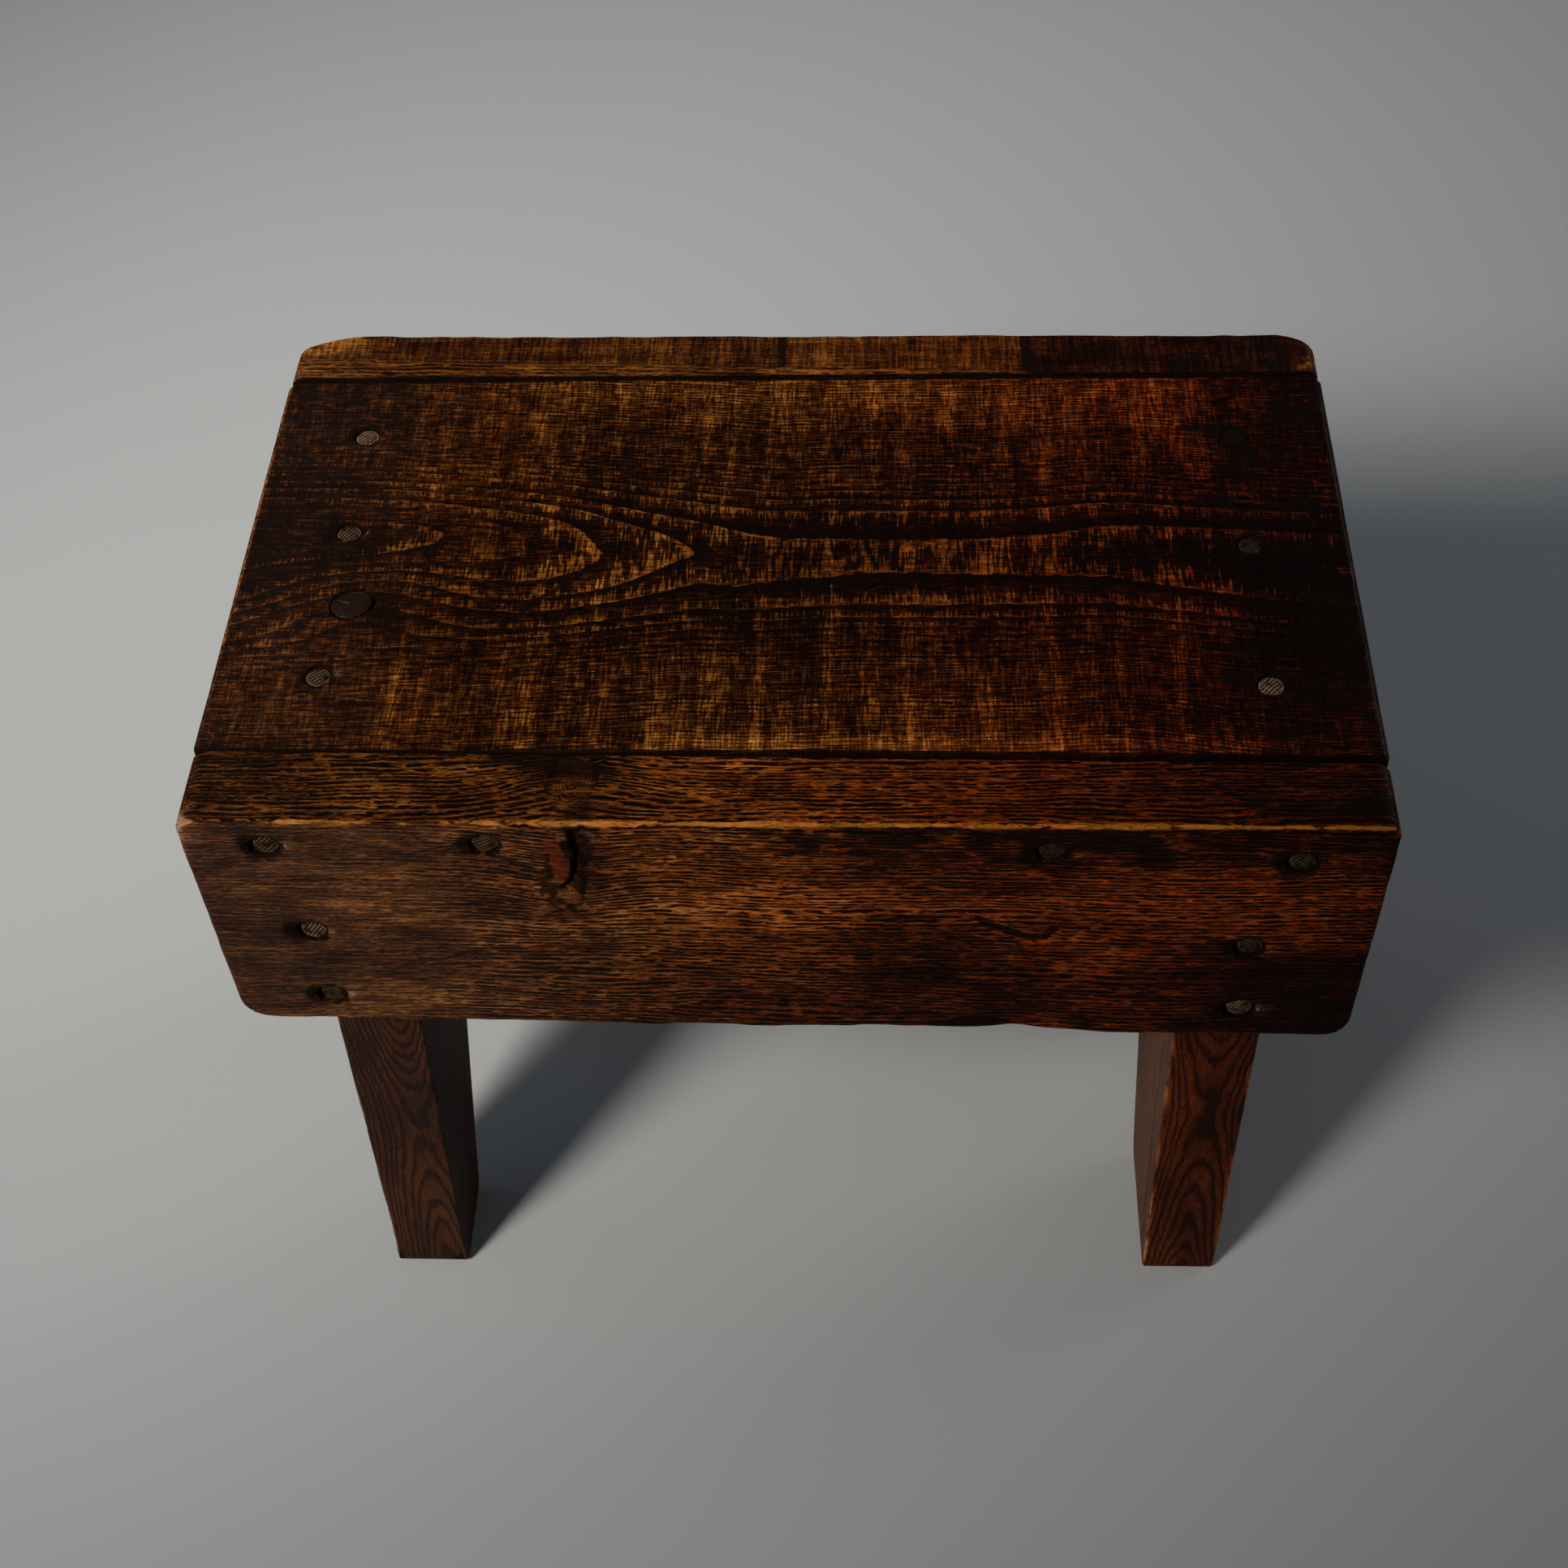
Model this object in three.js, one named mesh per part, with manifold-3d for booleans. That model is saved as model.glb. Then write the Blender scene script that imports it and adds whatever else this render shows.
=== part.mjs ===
// A small nailed pine stool of farmhouse make: a seat plank lies between two deep aprons, on two
// upright slab legs with a V sawn out of each foot. Everything is held by wire nails.
// Millimetres. +X is along the seat, +Y points to the back, +Z is up, and the floor is z = 0.
import * as THREE from "three";
import { mergeVertices } from "three/addons/utils/BufferGeometryUtils.js";
import Module from "manifold-3d";

const wasm = await Module();
wasm.setup();

// Driving dimensions
const LENGTH = 350;
const DEPTH = 228;
const HEIGHT = 272;
const PLANK_THICKNESS = 26;
const FRONT_APRON_THICKNESS = 27.2;
const BACK_APRON_THICKNESS = 22.8;
const APRON_DEPTH_LEFT = 91.5;
const APRON_DEPTH_RIGHT = 97;
const THINNER_TO_RIGHT = 1.5; // how much thinner each apron is at its right end than halfway
const THINNER_TO_FOOT = 1.6; // how much thinner the front apron is at its foot than at its top
const LEG_CENTRE = 137.4;
const LEG_THICKNESS_TOP = 30;
const LEG_THICKNESS_FOOT = 26.2;
const LEFT_NOTCH = { front: -55, back: 50, height: 139 };
const RIGHT_NOTCH = { front: -35.5, back: 45, height: 107 };
const LEFT_LEG_LEAN = 3.4; // how far the leg's front edge comes forward from its top to the floor
const RIGHT_LEG_LEAN = 0.2;
const NAIL_LENGTH = 63.5;
const NAIL_HEAD_DIAMETER = 7.8;
const NAIL_SHANK_DIAMETER = 3.35;

// Joints and clearances
const SHRINKAGE_GAP = 0.9; // between the plank and each apron, where the old wood has shrunk
const TOUCHING_GAP = 0.3; // between faces that bear on each other
const NAIL_CLEARANCE = 0.25;
const NAIL_SUNK = 0.6; // how far a head lies below the wood
const KNOT_GAP = 0.45; // the ring of lost bark round the loose knot

// Places that follow from the driving dimensions
const HALF_LENGTH = LENGTH / 2;
const FRONT = -DEPTH / 2;
const BACK = DEPTH / 2;
const PLANK_UNDERSIDE = HEIGHT - PLANK_THICKNESS;
const LEG_HEIGHT = PLANK_UNDERSIDE - TOUCHING_GAP;

// Worn corners and edges
const ARRIS = 1.6;
const APRON_TOP_CORNER = 5;
const APRON_FOOT_CORNER = 9;
const APRON_CANT_LEFT = 4.5; // how far each apron's end comes in from top to bottom
const APRON_CANT_RIGHT = 3;
const PLANK_END_CORNER = 3;
const FOOT_CORNER = 2.5;
const NOTCH_APEX_RADIUS = 5;

// How thick each apron is at a place along it and up it. Both are thinner to the right, and the
// front one is also thinner to its foot.
function frontThickness(x, z) {
  const along = (THINNER_TO_RIGHT * x) / HALF_LENGTH;
  const down = (THINNER_TO_FOOT * (HEIGHT - z)) / APRON_DEPTH_LEFT;
  return FRONT_APRON_THICKNESS - along - down;
}

function backThickness(x) {
  return BACK_APRON_THICKNESS - (THINNER_TO_RIGHT * x) / HALF_LENGTH;
}

// The loose knot in the plank, over the left leg
const KNOT = { x: -136.5, y: -22.7, halfLength: 6.8, halfWidth: 5.8, turn: 0.35, sides: 28 };

const PINE = { roughness: 0.45, metalness: 0 };
const topPine = new THREE.MeshStandardMaterial({ color: 0x4a2810, ...PINE });
const apronPine = new THREE.MeshStandardMaterial({ color: 0x52290f, ...PINE });
const legPine = new THREE.MeshStandardMaterial({ color: 0x4a2416, ...PINE });
const knotWood = new THREE.MeshStandardMaterial({ color: 0x2b1b10, ...PINE });
const nailIron = new THREE.MeshStandardMaterial({
  color: 0x4b4540,
  roughness: 0.5,
  metalness: 0.8,
});

// --- solids ---------------------------------------------------------------------------------

function toSolid(geometry) {
  const bare = geometry.clone();
  bare.deleteAttribute("normal");
  bare.deleteAttribute("uv");
  const merged = mergeVertices(bare, 1e-4);
  return new wasm.Manifold(
    new wasm.Mesh({
      numProp: 3,
      vertProperties: merged.attributes.position.array,
      triVerts: new Uint32Array(merged.index.array),
    }),
  );
}

function toGeometry(solid) {
  const mesh = solid.getMesh();
  const geometry = new THREE.BufferGeometry();
  geometry.setAttribute("position", new THREE.BufferAttribute(mesh.vertProperties, 3));
  geometry.setIndex(new THREE.BufferAttribute(mesh.triVerts, 1));
  return geometry;
}

// A closed outline whose corners are rounded, each corner being [x, y, radius].
function roundedOutline(corners) {
  const shape = new THREE.Shape();
  corners.forEach(([x, y, radius], i) => {
    const at = new THREE.Vector2(x, y);
    const [px, py] = corners.at(i - 1);
    const [nx, ny] = corners[(i + 1) % corners.length];
    const before = new THREE.Vector2(px, py).sub(at).setLength(radius).add(at);
    const after = new THREE.Vector2(nx, ny).sub(at).setLength(radius).add(at);
    if (i === 0) shape.moveTo(before.x, before.y);
    else shape.lineTo(before.x, before.y);
    shape.quadraticCurveTo(x, y, after.x, after.y);
  });
  shape.closePath();
  return shape;
}

// A board sawn to an outline, with its arrises worn round.
function board(outline, thickness) {
  return new THREE.ExtrudeGeometry(outline, {
    depth: thickness - 2 * ARRIS,
    bevelThickness: ARRIS,
    bevelSize: ARRIS,
    bevelOffset: -ARRIS,
    bevelSegments: 2,
    curveSegments: 5,
  }).translate(0, 0, ARRIS);
}

// --- nails ----------------------------------------------------------------------------------

// A wire nail standing on its head's top at the origin, its shank running down -Y. The hole for
// it is the same profile, wider and longer, and open above the head.
function nailGeometry(clearance = 0) {
  const head = NAIL_HEAD_DIAMETER / 2 + clearance;
  const shank = NAIL_SHANK_DIAMETER / 2 + clearance;
  const headThickness = 1.3;
  const pointLength = 5;
  const above = clearance > 0 ? NAIL_SUNK + 3 : 0;
  const profile = [
    [0, -NAIL_LENGTH - 2 * clearance],
    [shank, -NAIL_LENGTH + pointLength - 2 * clearance],
    [shank, -headThickness - clearance],
    [head, -headThickness * 0.55 - clearance],
    [head, above],
    [0, above],
  ];
  return new THREE.LatheGeometry(profile.map(([r, y]) => new THREE.Vector2(r, y)), 14);
}

const SHANK_DIRECTION = new THREE.Vector3(0, -1, 0);

// A nail driven into a face: its place on that face, and how far its point drifts off square.
function nail(name, face, u, v, drift) {
  return { name, face, u, v, drift };
}

const TOP_NAILS = [
  nail("top_nail_left_back", "top", -143.4, 59, [1, 0]),
  nail("top_nail_left_middle", "top", -142.4, 11, [-1, 1]),
  nail("top_nail_left_front", "top", -141.9, -54.3, [-2, 0]),
  nail("top_nail_right_back", "top", 143, 59.6, [-1, 0]),
  nail("top_nail_right_middle", "top", 143.2, 5.7, [-1, -1]),
  nail("top_nail_right_front", "top", 143.4, -56.7, [0.5, 0]),
];

// On the aprons, u runs along the seat and v is the depth below the seat.
const FRONT_NAILS = [
  nail("front_nail_upper_left", "front", -149.5, 10.8, [0, 0]),
  nail("front_nail_upper_mid_left", "front", -85.8, 9.5, [1, -1.5]),
  nail("front_nail_upper_mid_right", "front", 76.9, 11.2, [0, -1]),
  nail("front_nail_upper_right", "front", 148.4, 15.4, [2, 0]),
  nail("front_nail_middle_left", "front", -143.4, 48.9, [5, 0]),
  nail("front_nail_lower_left", "front", -140.6, 79.5, [1, 1]),
  nail("front_nail_middle_right", "front", 137.6, 53.2, [-1, 0]),
  nail("front_nail_lower_right", "front", 137.4, 82.9, [0, 1]),
];

const BACK_NAILS = [
  nail("back_nail_upper_left", "back", -150, 12.5, [-1, 0]),
  nail("back_nail_upper_mid_left", "back", -80, 10.5, [1, -1]),
  nail("back_nail_upper_mid_right", "back", 84, 12, [-1, -1]),
  nail("back_nail_upper_right", "back", 150, 11, [1, 0]),
  nail("back_nail_middle_left", "back", -138.5, 47, [1, 0]),
  nail("back_nail_lower_left", "back", -139, 80, [0, 1]),
  nail("back_nail_middle_right", "back", 138.5, 50, [-1, 0]),
  nail("back_nail_lower_right", "back", 138, 78, [1, 1]),
];

// Puts a nail's group on its face, its shank pointing inwards and leaning by its drift.
function placeNail(group, { face, u, v, drift }) {
  const inward = new THREE.Vector3();
  if (face === "top") {
    group.position.set(u, v, HEIGHT - NAIL_SUNK);
    inward.set(drift[0], drift[1], -NAIL_LENGTH);
  } else {
    const side = face === "front" ? -1 : 1;
    group.position.set(u, side * (DEPTH / 2 - NAIL_SUNK), HEIGHT - v);
    inward.set(drift[0], -side * NAIL_LENGTH, -drift[1]);
  }
  group.quaternion.setFromUnitVectors(SHANK_DIRECTION, inward.normalize());
  return group;
}

const NAILS = [...TOP_NAILS, ...FRONT_NAILS, ...BACK_NAILS];

const nailHoles = NAILS.map((each) => {
  const hole = placeNail(new THREE.Group(), each);
  hole.updateMatrixWorld(true);
  return toSolid(nailGeometry(NAIL_CLEARANCE).applyMatrix4(hole.matrixWorld));
});

function pierced(geometry, more = []) {
  const holes = [...nailHoles, ...more];
  return toGeometry(holes.reduce((solid, hole) => solid.subtract(hole), toSolid(geometry)));
}

// --- the loose knot ---------------------------------------------------------------------------

// An oval branch stub through the plank, slightly tapered, its top a little sunk.
function knotGeometry(gap, bottom, top) {
  const height = top - bottom;
  const taper = 0.94;
  const wide = KNOT.halfLength + gap;
  const knot = new THREE.CylinderGeometry(wide, wide * taper, height, KNOT.sides);
  knot.rotateX(Math.PI / 2);
  knot.scale(1, (KNOT.halfWidth + gap) / wide, 1);
  knot.rotateZ(KNOT.turn);
  return knot.translate(KNOT.x, KNOT.y, bottom + height / 2);
}

// --- boards -----------------------------------------------------------------------------------

// Moves every point of a geometry across the stool, to the y that a function gives it.
function reshapeAcross(geometry, newY) {
  const position = geometry.attributes.position;
  for (let i = 0; i < position.count; i++) {
    position.setY(i, newY(position.getX(i), position.getY(i), position.getZ(i)));
  }
  return geometry;
}

// The seat plank: a plain board with rounded ends, its long edges following the aprons.
function plank() {
  const outline = roundedOutline([
    [-HALF_LENGTH, PLANK_UNDERSIDE, ARRIS],
    [HALF_LENGTH, PLANK_UNDERSIDE, ARRIS],
    [HALF_LENGTH, HEIGHT, PLANK_END_CORNER],
    [-HALF_LENGTH, HEIGHT, PLANK_END_CORNER],
  ]);
  const flat = new THREE.ExtrudeGeometry(outline, {
    depth: 1,
    bevelEnabled: false,
    curveSegments: 4,
  });
  flat.rotateX(Math.PI / 2);
  reshapeAcross(flat, (x, y) => {
    const near = FRONT + frontThickness(x, HEIGHT) + SHRINKAGE_GAP;
    const far = BACK - backThickness(x) - SHRINKAGE_GAP;
    return far + (far - near) * y;
  });
  const knotHole = toSolid(knotGeometry(KNOT_GAP, PLANK_UNDERSIDE - 1, HEIGHT + 1));
  return pierced(flat, [knotHole]);
}

// An apron lying with one face on y = 0 and the other at -thickness: its ends come in a little
// towards the bottom, whose corners are sawn round.
function apronBlank(thickness, depthLeft, depthRight) {
  const outline = roundedOutline([
    [-HALF_LENGTH + APRON_CANT_LEFT, HEIGHT - depthLeft, APRON_FOOT_CORNER],
    [HALF_LENGTH - APRON_CANT_RIGHT, HEIGHT - depthRight, APRON_FOOT_CORNER],
    [HALF_LENGTH, HEIGHT, APRON_TOP_CORNER],
    [-HALF_LENGTH, HEIGHT, APRON_TOP_CORNER],
  ]);
  return board(outline, thickness).rotateX(Math.PI / 2);
}

function frontApron() {
  const blank = apronBlank(FRONT_APRON_THICKNESS, APRON_DEPTH_LEFT, APRON_DEPTH_RIGHT);
  return pierced(
    reshapeAcross(blank, (x, y, z) => {
      return FRONT + (1 + y / FRONT_APRON_THICKNESS) * frontThickness(x, z);
    }),
  );
}

function backApron() {
  const blank = apronBlank(BACK_APRON_THICKNESS, APRON_DEPTH_RIGHT, APRON_DEPTH_LEFT);
  return pierced(
    reshapeAcross(blank, (x, y) => BACK + (y / BACK_APRON_THICKNESS) * backThickness(x)),
  );
}

// A slab leg: an upright board across the stool with a V sawn out of its foot. It thins to the
// floor, so the straight board is trimmed by a wedge on each side.
function leg(side, notch, lean) {
  const thickEnd = side * LEG_CENTRE - LEG_THICKNESS_TOP / 2;
  const near = FRONT + frontThickness(thickEnd, PLANK_UNDERSIDE) + TOUCHING_GAP;
  const far = BACK - backThickness(thickEnd) - TOUCHING_GAP;
  const outline = roundedOutline([
    [near - lean, 0, FOOT_CORNER],
    [notch.front, 0, FOOT_CORNER],
    [(notch.front + notch.back) / 2, notch.height, NOTCH_APEX_RADIUS],
    [notch.back, 0, FOOT_CORNER],
    [far, 0, FOOT_CORNER],
    [far, LEG_HEIGHT, ARRIS],
    [near, LEG_HEIGHT, ARRIS],
  ]);
  const slab = new THREE.ExtrudeGeometry(outline, {
    depth: LEG_THICKNESS_TOP,
    bevelEnabled: false,
    curveSegments: 4,
  });
  slab.rotateZ(Math.PI / 2).rotateY(Math.PI / 2);
  slab.translate(-LEG_THICKNESS_TOP / 2, 0, 0);
  const halfTop = LEG_THICKNESS_TOP / 2;
  const halfFoot = LEG_THICKNESS_FOOT / 2;
  const taper = new THREE.Shape([
    new THREE.Vector2(-halfFoot, 0),
    new THREE.Vector2(halfFoot, 0),
    new THREE.Vector2(halfTop, LEG_HEIGHT),
    new THREE.Vector2(-halfTop, LEG_HEIGHT),
  ]);
  const wedge = new THREE.ExtrudeGeometry(taper, { depth: DEPTH, bevelEnabled: false });
  wedge.rotateX(Math.PI / 2).translate(0, BACK, 0);
  const tapered = toSolid(slab).intersect(toSolid(wedge));
  return pierced(toGeometry(tapered).translate(side * LEG_CENTRE, 0, 0));
}

// --- the stool --------------------------------------------------------------------------------

const stool = new THREE.Group();

function add(name, geometry, material) {
  const mesh = new THREE.Mesh(geometry, material);
  mesh.name = name;
  stool.add(mesh);
}

add("seat_plank", plank(), topPine);
add("front_apron", frontApron(), apronPine);
add("back_apron", backApron(), apronPine);
add("left_leg", leg(-1, LEFT_NOTCH, LEFT_LEG_LEAN), legPine);
add("right_leg", leg(1, RIGHT_NOTCH, RIGHT_LEG_LEAN), legPine);
add("loose_knot", knotGeometry(0, PLANK_UNDERSIDE, HEIGHT - TOUCHING_GAP), knotWood);

for (const each of NAILS) {
  const group = placeNail(new THREE.Group(), each);
  const mesh = new THREE.Mesh(nailGeometry(), nailIron);
  mesh.name = each.name;
  group.add(mesh);
  stool.add(group);
}

export default stool;
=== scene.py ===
# A nailed pine milking stool, stained dark and rubbed bare along its edges.
# The shapes are worked out in millimetres and made in metres. +X runs along the seat, +Y to the
# back and +Z up, and the floor is z = 0. Where x, y and z come from points.T they are views of the
# points, so changing one of them moves the points.
import math
from dataclasses import dataclass
from functools import partial

import bpy
import numpy as np
from mathutils import Matrix, Vector


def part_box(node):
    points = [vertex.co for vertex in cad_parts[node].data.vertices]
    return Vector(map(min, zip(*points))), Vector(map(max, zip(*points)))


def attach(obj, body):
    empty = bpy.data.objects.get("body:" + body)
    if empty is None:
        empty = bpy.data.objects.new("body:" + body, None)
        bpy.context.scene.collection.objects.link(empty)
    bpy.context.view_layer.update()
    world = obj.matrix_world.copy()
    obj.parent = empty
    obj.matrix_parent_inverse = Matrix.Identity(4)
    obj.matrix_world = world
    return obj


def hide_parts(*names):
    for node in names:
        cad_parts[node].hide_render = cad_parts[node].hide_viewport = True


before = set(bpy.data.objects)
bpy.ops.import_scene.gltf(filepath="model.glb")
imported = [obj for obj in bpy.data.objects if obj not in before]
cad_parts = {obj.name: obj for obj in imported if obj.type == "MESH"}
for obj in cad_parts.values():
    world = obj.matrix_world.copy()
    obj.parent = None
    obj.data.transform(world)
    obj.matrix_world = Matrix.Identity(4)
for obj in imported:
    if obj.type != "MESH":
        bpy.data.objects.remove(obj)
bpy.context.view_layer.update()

MM = 0.001


def box_mm(node):
    low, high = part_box(node)
    return np.array(low) / MM, np.array(high) / MM


# The stool's own sizes, from its frame
SEAT_LOW, SEAT_HIGH = box_mm("seat_plank")
HALF_LENGTH = SEAT_HIGH[0]
HEIGHT = SEAT_HIGH[2]
PLANK_UNDERSIDE = SEAT_LOW[2]
FRONT = box_mm("front_apron")[0][1]
BACK = box_mm("back_apron")[1][1]
LEG_TOP = box_mm("left_leg")[1][2]

# The stool's own sizes that its boxes don't show
APRON_THICKNESS = {"front": 27.2, "back": 22.8}
THINNER_TO_RIGHT = 1.5
THINNER_TO_FOOT = 1.6
APRON_DEPTH = {"left": 91.5, "right": 97.0}
APRON_CANT = {"left": 4.5, "right": 3.0}
SHRINKAGE_GAP = {"front_left": 0.5, "front_right": 2.5, "back": 1.8}
TOUCHING_GAP = 0.3
LEG_CENTRE = 137.4
LEG_THICKNESS_TOP = 30.0
LEG_THICKNESS_FOOT = 26.2
LEGS = {
    "left": {"side": -1, "notch": (-55.0, 50.0, 139.0), "lean": 3.4},
    "right": {"side": 1, "notch": (-35.5, 45.0, 107.0), "lean": 0.2},
}
NAIL_HEAD_RADIUS = 3.8
NAIL_SHANK_RADIUS = 1.67
NAIL_LENGTH = 63.5


def front_thickness(x, z):
    along = THINNER_TO_RIGHT * x / HALF_LENGTH
    return APRON_THICKNESS["front"] - along - THINNER_TO_FOOT * (HEIGHT - z) / APRON_DEPTH["left"]


def back_thickness(x):
    return APRON_THICKNESS["back"] - THINNER_TO_RIGHT * x / HALF_LENGTH


# --- smooth repeatable randomness ---


def lattice(i, j, k, seed):
    """A repeatable number from -1 to 1 for every whole-number point."""
    n = (i * 73856093) ^ (j * 19349663) ^ (k * 83492791) ^ (seed * 40503 + 977)
    n = ((n ^ (n >> 13)) * 1274126177) & 0x7FFFFFFF
    n = ((n ^ (n >> 15)) * 48271) & 0x7FFFFFFF
    return n / 0x3FFFFFFF - 1


def noise(points, size, seed, octaves=1):
    """Smooth noise from about -1 to 1 at points in mm, with lumps of the given size in mm."""
    at = points / np.array(size, float)
    total, weight, share = 0.0, 0.0, 1.0
    for octave in range(octaves):
        cell = np.floor(at).astype(np.int64)
        t = at - cell
        t = t * t * (3 - 2 * t)
        for corner in np.ndindex(2, 2, 2):
            value = lattice(*(cell + corner).T, seed + octave)
            total = total + share * value * np.where(corner, t, 1 - t).prod(axis=1)
        weight += share
        share *= 0.5
        at = at * 2 + 31.7
    return total / weight


def wandering(points, size, amount, seed):
    return amount * np.stack([noise(points, size, seed + k) for k in range(3)], axis=1)


def smooth(low, high, x):
    t = np.clip((x - low) / (high - low), 0, 1)
    return t * t * (3 - 2 * t)


def blob(points, centre, size):
    """1 at centre, falling smoothly to 0 beyond size. An infinite size ignores its axis."""
    return np.exp(-(((points - np.array(centre)) / np.array(size)) ** 2).sum(axis=1))


def stroke(points, path, width, axes=(0, 2)):
    """1 along a line drawn on a face, falling to 0 at the given width. axes are the two axes that
    the line's own points are given in."""
    nearest = np.full(len(points), 1e9)
    flat = points[:, list(axes)]
    for start, end in zip(path[:-1], path[1:]):
        start, run = np.array(start, float), np.subtract(end, start)
        share = np.clip((flat - start) @ run / (run @ run), 0, 1)
        nearest = np.minimum(nearest, np.linalg.norm(flat - start - share[:, None] * run, axis=1))
    return smooth(width, 0, nearest)


def spline(xs, ys, x):
    """A smooth curve through a few points, flat beyond its ends."""
    slopes = np.gradient(ys, xs)
    x = np.clip(x, xs[0], xs[-1])
    at = np.clip(np.searchsorted(xs, x) - 1, 0, len(xs) - 2)
    span = xs[at + 1] - xs[at]
    t = (x - xs[at]) / span
    a = (1 + 2 * t) * (1 - t) ** 2 * ys[at] + t * (1 - t) ** 2 * span * slopes[at]
    return a + t * t * (3 - 2 * t) * ys[at + 1] + t * t * (t - 1) * span * slopes[at + 1]


# --- meshes ---


def new_object(name, points, faces):
    mesh = bpy.data.meshes.new(name)
    mesh.from_pydata((np.asarray(points) * MM).tolist(), [], [list(map(int, f)) for f in faces])
    mesh.validate()
    made = bpy.data.objects.new(name, mesh)
    bpy.context.collection.objects.link(made)
    return made


def read_points(made, what):
    flat = np.empty(len(made.data.vertices) * 3, np.float32)
    made.data.vertices.foreach_get(what, flat)
    return flat.reshape(-1, 3).astype(float)


def points_of(made):
    return read_points(made, "co") / MM


def carve(made, cutters):
    """Cuts each cutter out of a piece, and throws the cutters away."""
    for cutter in cutters:
        cut = made.modifiers.new("hole", "BOOLEAN")
        cut.operation = "DIFFERENCE"
        cut.solver = "MANIFOLD"
        cut.object = cutter
    shaped = made.evaluated_get(bpy.context.evaluated_depsgraph_get())
    whole, made.data = made.data, bpy.data.meshes.new_from_object(shaped)
    made.modifiers.clear()
    bpy.data.meshes.remove(whole)
    for cutter in cutters:
        bpy.data.objects.remove(cutter)


def finish_piece(made, node, material, sharp_degrees, layers):
    """Gives a piece its shading, its layers of numbers for the material to read by name, its
    material and its place in the frame."""
    made.data.shade_smooth()
    made.data.set_sharp_from_angle(angle=math.radians(sharp_degrees))
    for name, values in layers.items():
        layer = made.data.attributes.new(name, "FLOAT", "POINT")
        layer.data.foreach_set("value", np.asarray(values, np.float32))
    made.data.materials.clear()
    made.data.materials.append(material)
    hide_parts(node)
    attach(made, "root")


def grid_lines(low, high, step, fine_parts=(), fringe=3.3, fine=0.6):
    """Grid lines from low to high, closer together near both ends, where the edges are worn, and
    in the fine parts, where there is small damage."""
    parts = [(low, low + fringe), *fine_parts, (high - fringe, high)]
    lines = [high]
    at = low
    while at < high - fine * 0.5:
        lines.append(at)
        at += fine if any(a - fine <= at < b for a, b in parts) else step
    return np.sort(np.array(lines))


def block(low, high, steps, fine_parts=((), (), ())):
    """The surface of a block as a grid of quads, with grid lines about steps apart."""
    lines = [grid_lines(*line) for line in zip(low, high, steps, fine_parts)]
    shape = tuple(len(line) for line in lines)
    at = np.indices(shape)
    skin = np.zeros(shape, bool)
    for axis in range(3):
        skin |= (at[axis] == 0) | (at[axis] == shape[axis] - 1)
    number = np.full(shape, -1)
    number[skin] = np.arange(skin.sum())
    points = np.stack([lines[axis][at[axis][skin]] for axis in range(3)], axis=1)
    faces = []
    for axis in range(3):
        first, second = (axis + 1) % 3, (axis + 2) % 3
        for end in (0, shape[axis] - 1):
            sheet = np.moveaxis(number, (axis, first, second), (0, 1, 2))[end]
            quads = [sheet[:-1, :-1], sheet[1:, :-1], sheet[1:, 1:], sheet[:-1, 1:]]
            if end == 0:
                quads.reverse()
            faces.append(np.stack([q.ravel() for q in quads], axis=1))
    return points, np.concatenate(faces)


def round_edges(points, low, high, radius):
    """Rounds a block's edges to a radius that may differ from point to point.
    Returns the new points and the surface's normals there."""
    radius = radius[:, None]
    core = np.clip(points, low + radius, high - radius)
    out = points - core
    normals = out / np.linalg.norm(out, axis=1, keepdims=True)
    return core + normals * radius, normals


def round_corner(points, level, corner, inward, radius):
    """Rounds one corner of a board's outline, in place. level is the outline's level axis, and
    inward holds the signs that lead from the corner into the board."""
    axes = (level, 2)
    across, down = ((corner[k] - points[:, axes[k]]) * inward[k] + radius for k in (0, 1))
    inside = (across > 0) & (down > 0)
    squeeze = np.maximum(across, down) / np.maximum(np.hypot(across, down), 1e-9)
    for k, depth in enumerate((across, down)):
        rounded = corner[k] + inward[k] * (radius - depth * squeeze)
        points[:, axes[k]] = np.where(inside, rounded, points[:, axes[k]])


def lathe(profile, sides, swell=lambda angle, z: 1):
    """A closed solid of revolution about Z from a profile of (radius, z) that starts and ends on
    the axis. swell changes the radius with the angle."""
    angles = np.linspace(0, 2 * math.pi, sides, endpoint=False)
    points = [(0, 0, profile[0][1])]
    for radius, z in profile[1:-1]:
        for angle in angles:
            wide = radius * swell(angle, z)
            points.append((wide * math.cos(angle), wide * math.sin(angle), z))
    points.append((0, 0, profile[-1][1]))
    last = len(points) - 1
    faces = []
    for k in range(sides):
        after = (k + 1) % sides
        faces.append((0, 1 + after, 1 + k))
        for a in range(1, last - sides, sides):
            faces.append((a + k, a + after, a + sides + after, a + sides + k))
        faces.append((last, last - sides + k, last - sides + after))
    return np.array(points, float), faces


# --- nails ---

FACE_NORMALS = {"top": (0, 0, 1), "front": (0, -1, 0), "back": (0, 1, 0)}
TOP_NAILS, FRONT_NAILS, BACK_NAILS = (
    [node for node in sorted(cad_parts) if node.startswith(face + "_nail")]
    for face in FACE_NORMALS
)
HATCH_PITCH = 1.1
NAIL_SUNK = {"top": 0.25, "front": 0.6, "back": 0.6}
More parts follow.
